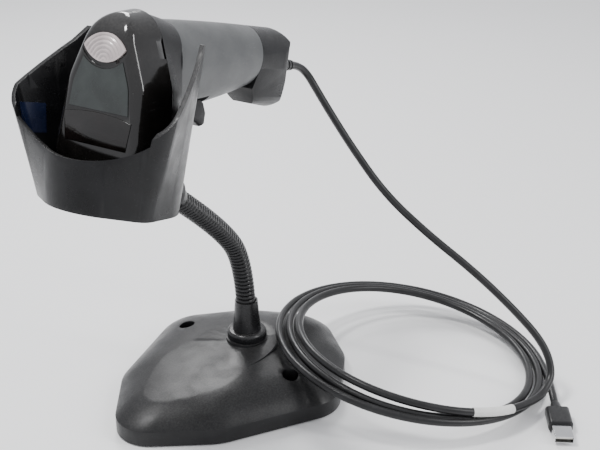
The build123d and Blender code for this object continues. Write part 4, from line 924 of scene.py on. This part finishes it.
# ---------------------------------------------------------------- studio
@dataclass
class Studio:
    """Pale floor, soft lights and the camera."""

    eye: tuple[float, float, float] = (0.4702, -0.4676, 0.4112)
    azimuth: float = math.radians(42.0)
    elevation: float = math.radians(24.2)
    lens: float = 66.0

    def camera(self) -> None:
        """Places the camera."""
        data = bpy.data.cameras.new("camera")
        data.lens = self.lens
        data.sensor_width = 36.0
        data.clip_start = 0.01
        holder = bpy.data.objects.new("camera", data)
        bpy.context.scene.collection.objects.link(holder)
        look = -Vector(
            (
                math.sin(self.azimuth) * math.cos(self.elevation),
                -math.cos(self.azimuth) * math.cos(self.elevation),
                math.sin(self.elevation),
            )
        )
        holder.location = self.eye
        holder.rotation_euler = look.to_track_quat("-Z", "Y").to_euler()
        bpy.context.scene.camera = holder

    def area(self, name: str, place: tuple, aim: tuple, size: tuple, power: float) -> None:
        """Adds a soft rectangular light.

        Args:
            name: the light's name.
            place: its position, in metres.
            aim: the point it faces.
            size: its width and height, in metres.
            power: its power, in watts.
        """
        data = bpy.data.lights.new(name, "AREA")
        data.shape = "RECTANGLE"
        data.size, data.size_y = size
        data.energy = power
        holder = bpy.data.objects.new(name, data)
        bpy.context.scene.collection.objects.link(holder)
        holder.location = place
        holder.rotation_euler = (Vector(aim) - Vector(place)).to_track_quat("-Z", "Y").to_euler()

    def lights(self) -> None:
        """Adds the lights and the sky."""
        aim = (0.05, 0.0, 0.12)
        self.area("key", (-0.25, -0.35, 1.15), aim, (0.22, 0.22), 10.0)
        self.area("strip", (0.95, 0.35, 0.75), aim, (0.12, 0.8), 5.0)
        self.area("window", (-0.75, 0.55, 0.95), aim, (0.3, 0.5), 7.0)
        world = bpy.data.worlds.new("studio")
        bpy.context.scene.world = world
        world.use_nodes = True
        world.node_tree.nodes["Background"].inputs["Color"].default_value = (0.95, 0.96, 1.0, 1.0)
        world.node_tree.nodes["Background"].inputs["Strength"].default_value = 0.95

    def floor(self) -> None:
        """Adds the floor."""
        form = bmesh.new()
        bmesh.ops.create_grid(form, x_segments=1, y_segments=1, size=6.0)
        piece = keep(form, "floor", None)
        piece.location = (0, 0, -0.0002)
        material = bpy.data.materials.new("floor_white")
        material.use_nodes = True
        nodes, link = material.node_tree.nodes, material.node_tree.links.new
        noise = nodes.new("ShaderNodeTexNoise")
        noise.inputs["Scale"].default_value = 3.0
        ramp = nodes.new("ShaderNodeValToRGB")
        ramp.color_ramp.elements[0].color = (0.90, 0.90, 0.90, 1.0)
        ramp.color_ramp.elements[1].color = (0.93, 0.93, 0.93, 1.0)
        link(noise.outputs["Fac"], ramp.inputs["Fac"])
        link(ramp.outputs["Color"], nodes["Principled BSDF"].inputs["Base Color"])
        nodes["Principled BSDF"].inputs["Roughness"].default_value = 0.6
        piece.data.materials.append(material)

    def build(self) -> None:
        """Builds the studio."""
        self.camera()
        self.lights()
        self.floor()


def dress_nodes() -> None:
    """Gives every model node that still shows the finish of its slot."""
    for part in frame["record"]["subparts"]:
        piece = frame["nodes"][part["node"]]
        dress(piece, part["material_slot"])


@dataclass
class TriggerSpring:
    """The trigger's return spring, which the pull shortens towards the grip board."""

    board_y: float = -4.5
    height: float = -32.0
    kept: float = 0.86

    def build(self) -> None:
        """Gives the spring node its own copy of its mesh; the joint name, axis, anchor and kept share
        passed along are not read.
        """
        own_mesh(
            frame["nodes"]["trigger_spring"],
            "trigger_pull",
            axis=PLACE.point(0, 1, 0) - PLACE.point(0, 0, 0),
            anchor=PLACE.point(0, self.board_y, self.height),
            keep=self.kept,
        )


@dataclass
class SoftShell:
    """A moulded shell whose sharp edges are rounded as moulding leaves them."""

    node: str
    slot: str
    radius: float
    segments: int = 3
    limit: float = 32.0

    def build(self) -> None:
        """Makes a merged copy of the model's mesh and rounds its edges."""
        source = frame["nodes"][self.node]
        form = bmesh.new()
        form.from_mesh(source.data)
        bmesh.ops.transform(form, matrix=source.matrix_world, verts=form.verts[:])
        bmesh.ops.remove_doubles(form, verts=form.verts[:], dist=0.00001)
        bmesh.ops.dissolve_degenerate(form, edges=form.edges[:], dist=0.00001)
        bmesh.ops.recalc_face_normals(form, faces=form.faces[:])
        piece = keep(form, self.node + "_soft", 180.0)
        bevel = piece.modifiers.new("rounding", "BEVEL")
        bevel.width = self.radius * MM
        bevel.segments = self.segments
        bevel.limit_method = "ANGLE"
        bevel.angle_limit = math.radians(self.limit)
        bevel.harden_normals = True
        dress(piece, self.slot)
        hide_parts(self.node)
        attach(piece, BODY_OF[self.node])


def main() -> None:
    """Builds the scene."""
    logging.basicConfig(level=logging.INFO, format="%(name)s %(message)s")
    Studio().build()
    dress_nodes()
    for shell in SHELLS:
        shell.build()
    Cable().build()
    Gooseneck().build()
    IndicatorLens().build()
    TriggerSpring().build()


SHELLS = (
    SoftShell("cup_shell", "satin_black", 1.0),
    SoftShell("top_cover", "gloss_black", 0.5),
    SoftShell("handle_end_cap", "satin_black", 1.2),
    SoftShell("trigger", "satin_black", 0.8),
    SoftShell("badge_plate", "badge_brown", 0.3),
    SoftShell("base_cover", "base_black", 0.8),
    SoftShell("usb_plug_body", "cable_black", 0.8),
    SoftShell("neck_collar", "black_metal", 0.5),
)

if __name__ == "__main__":
    main()
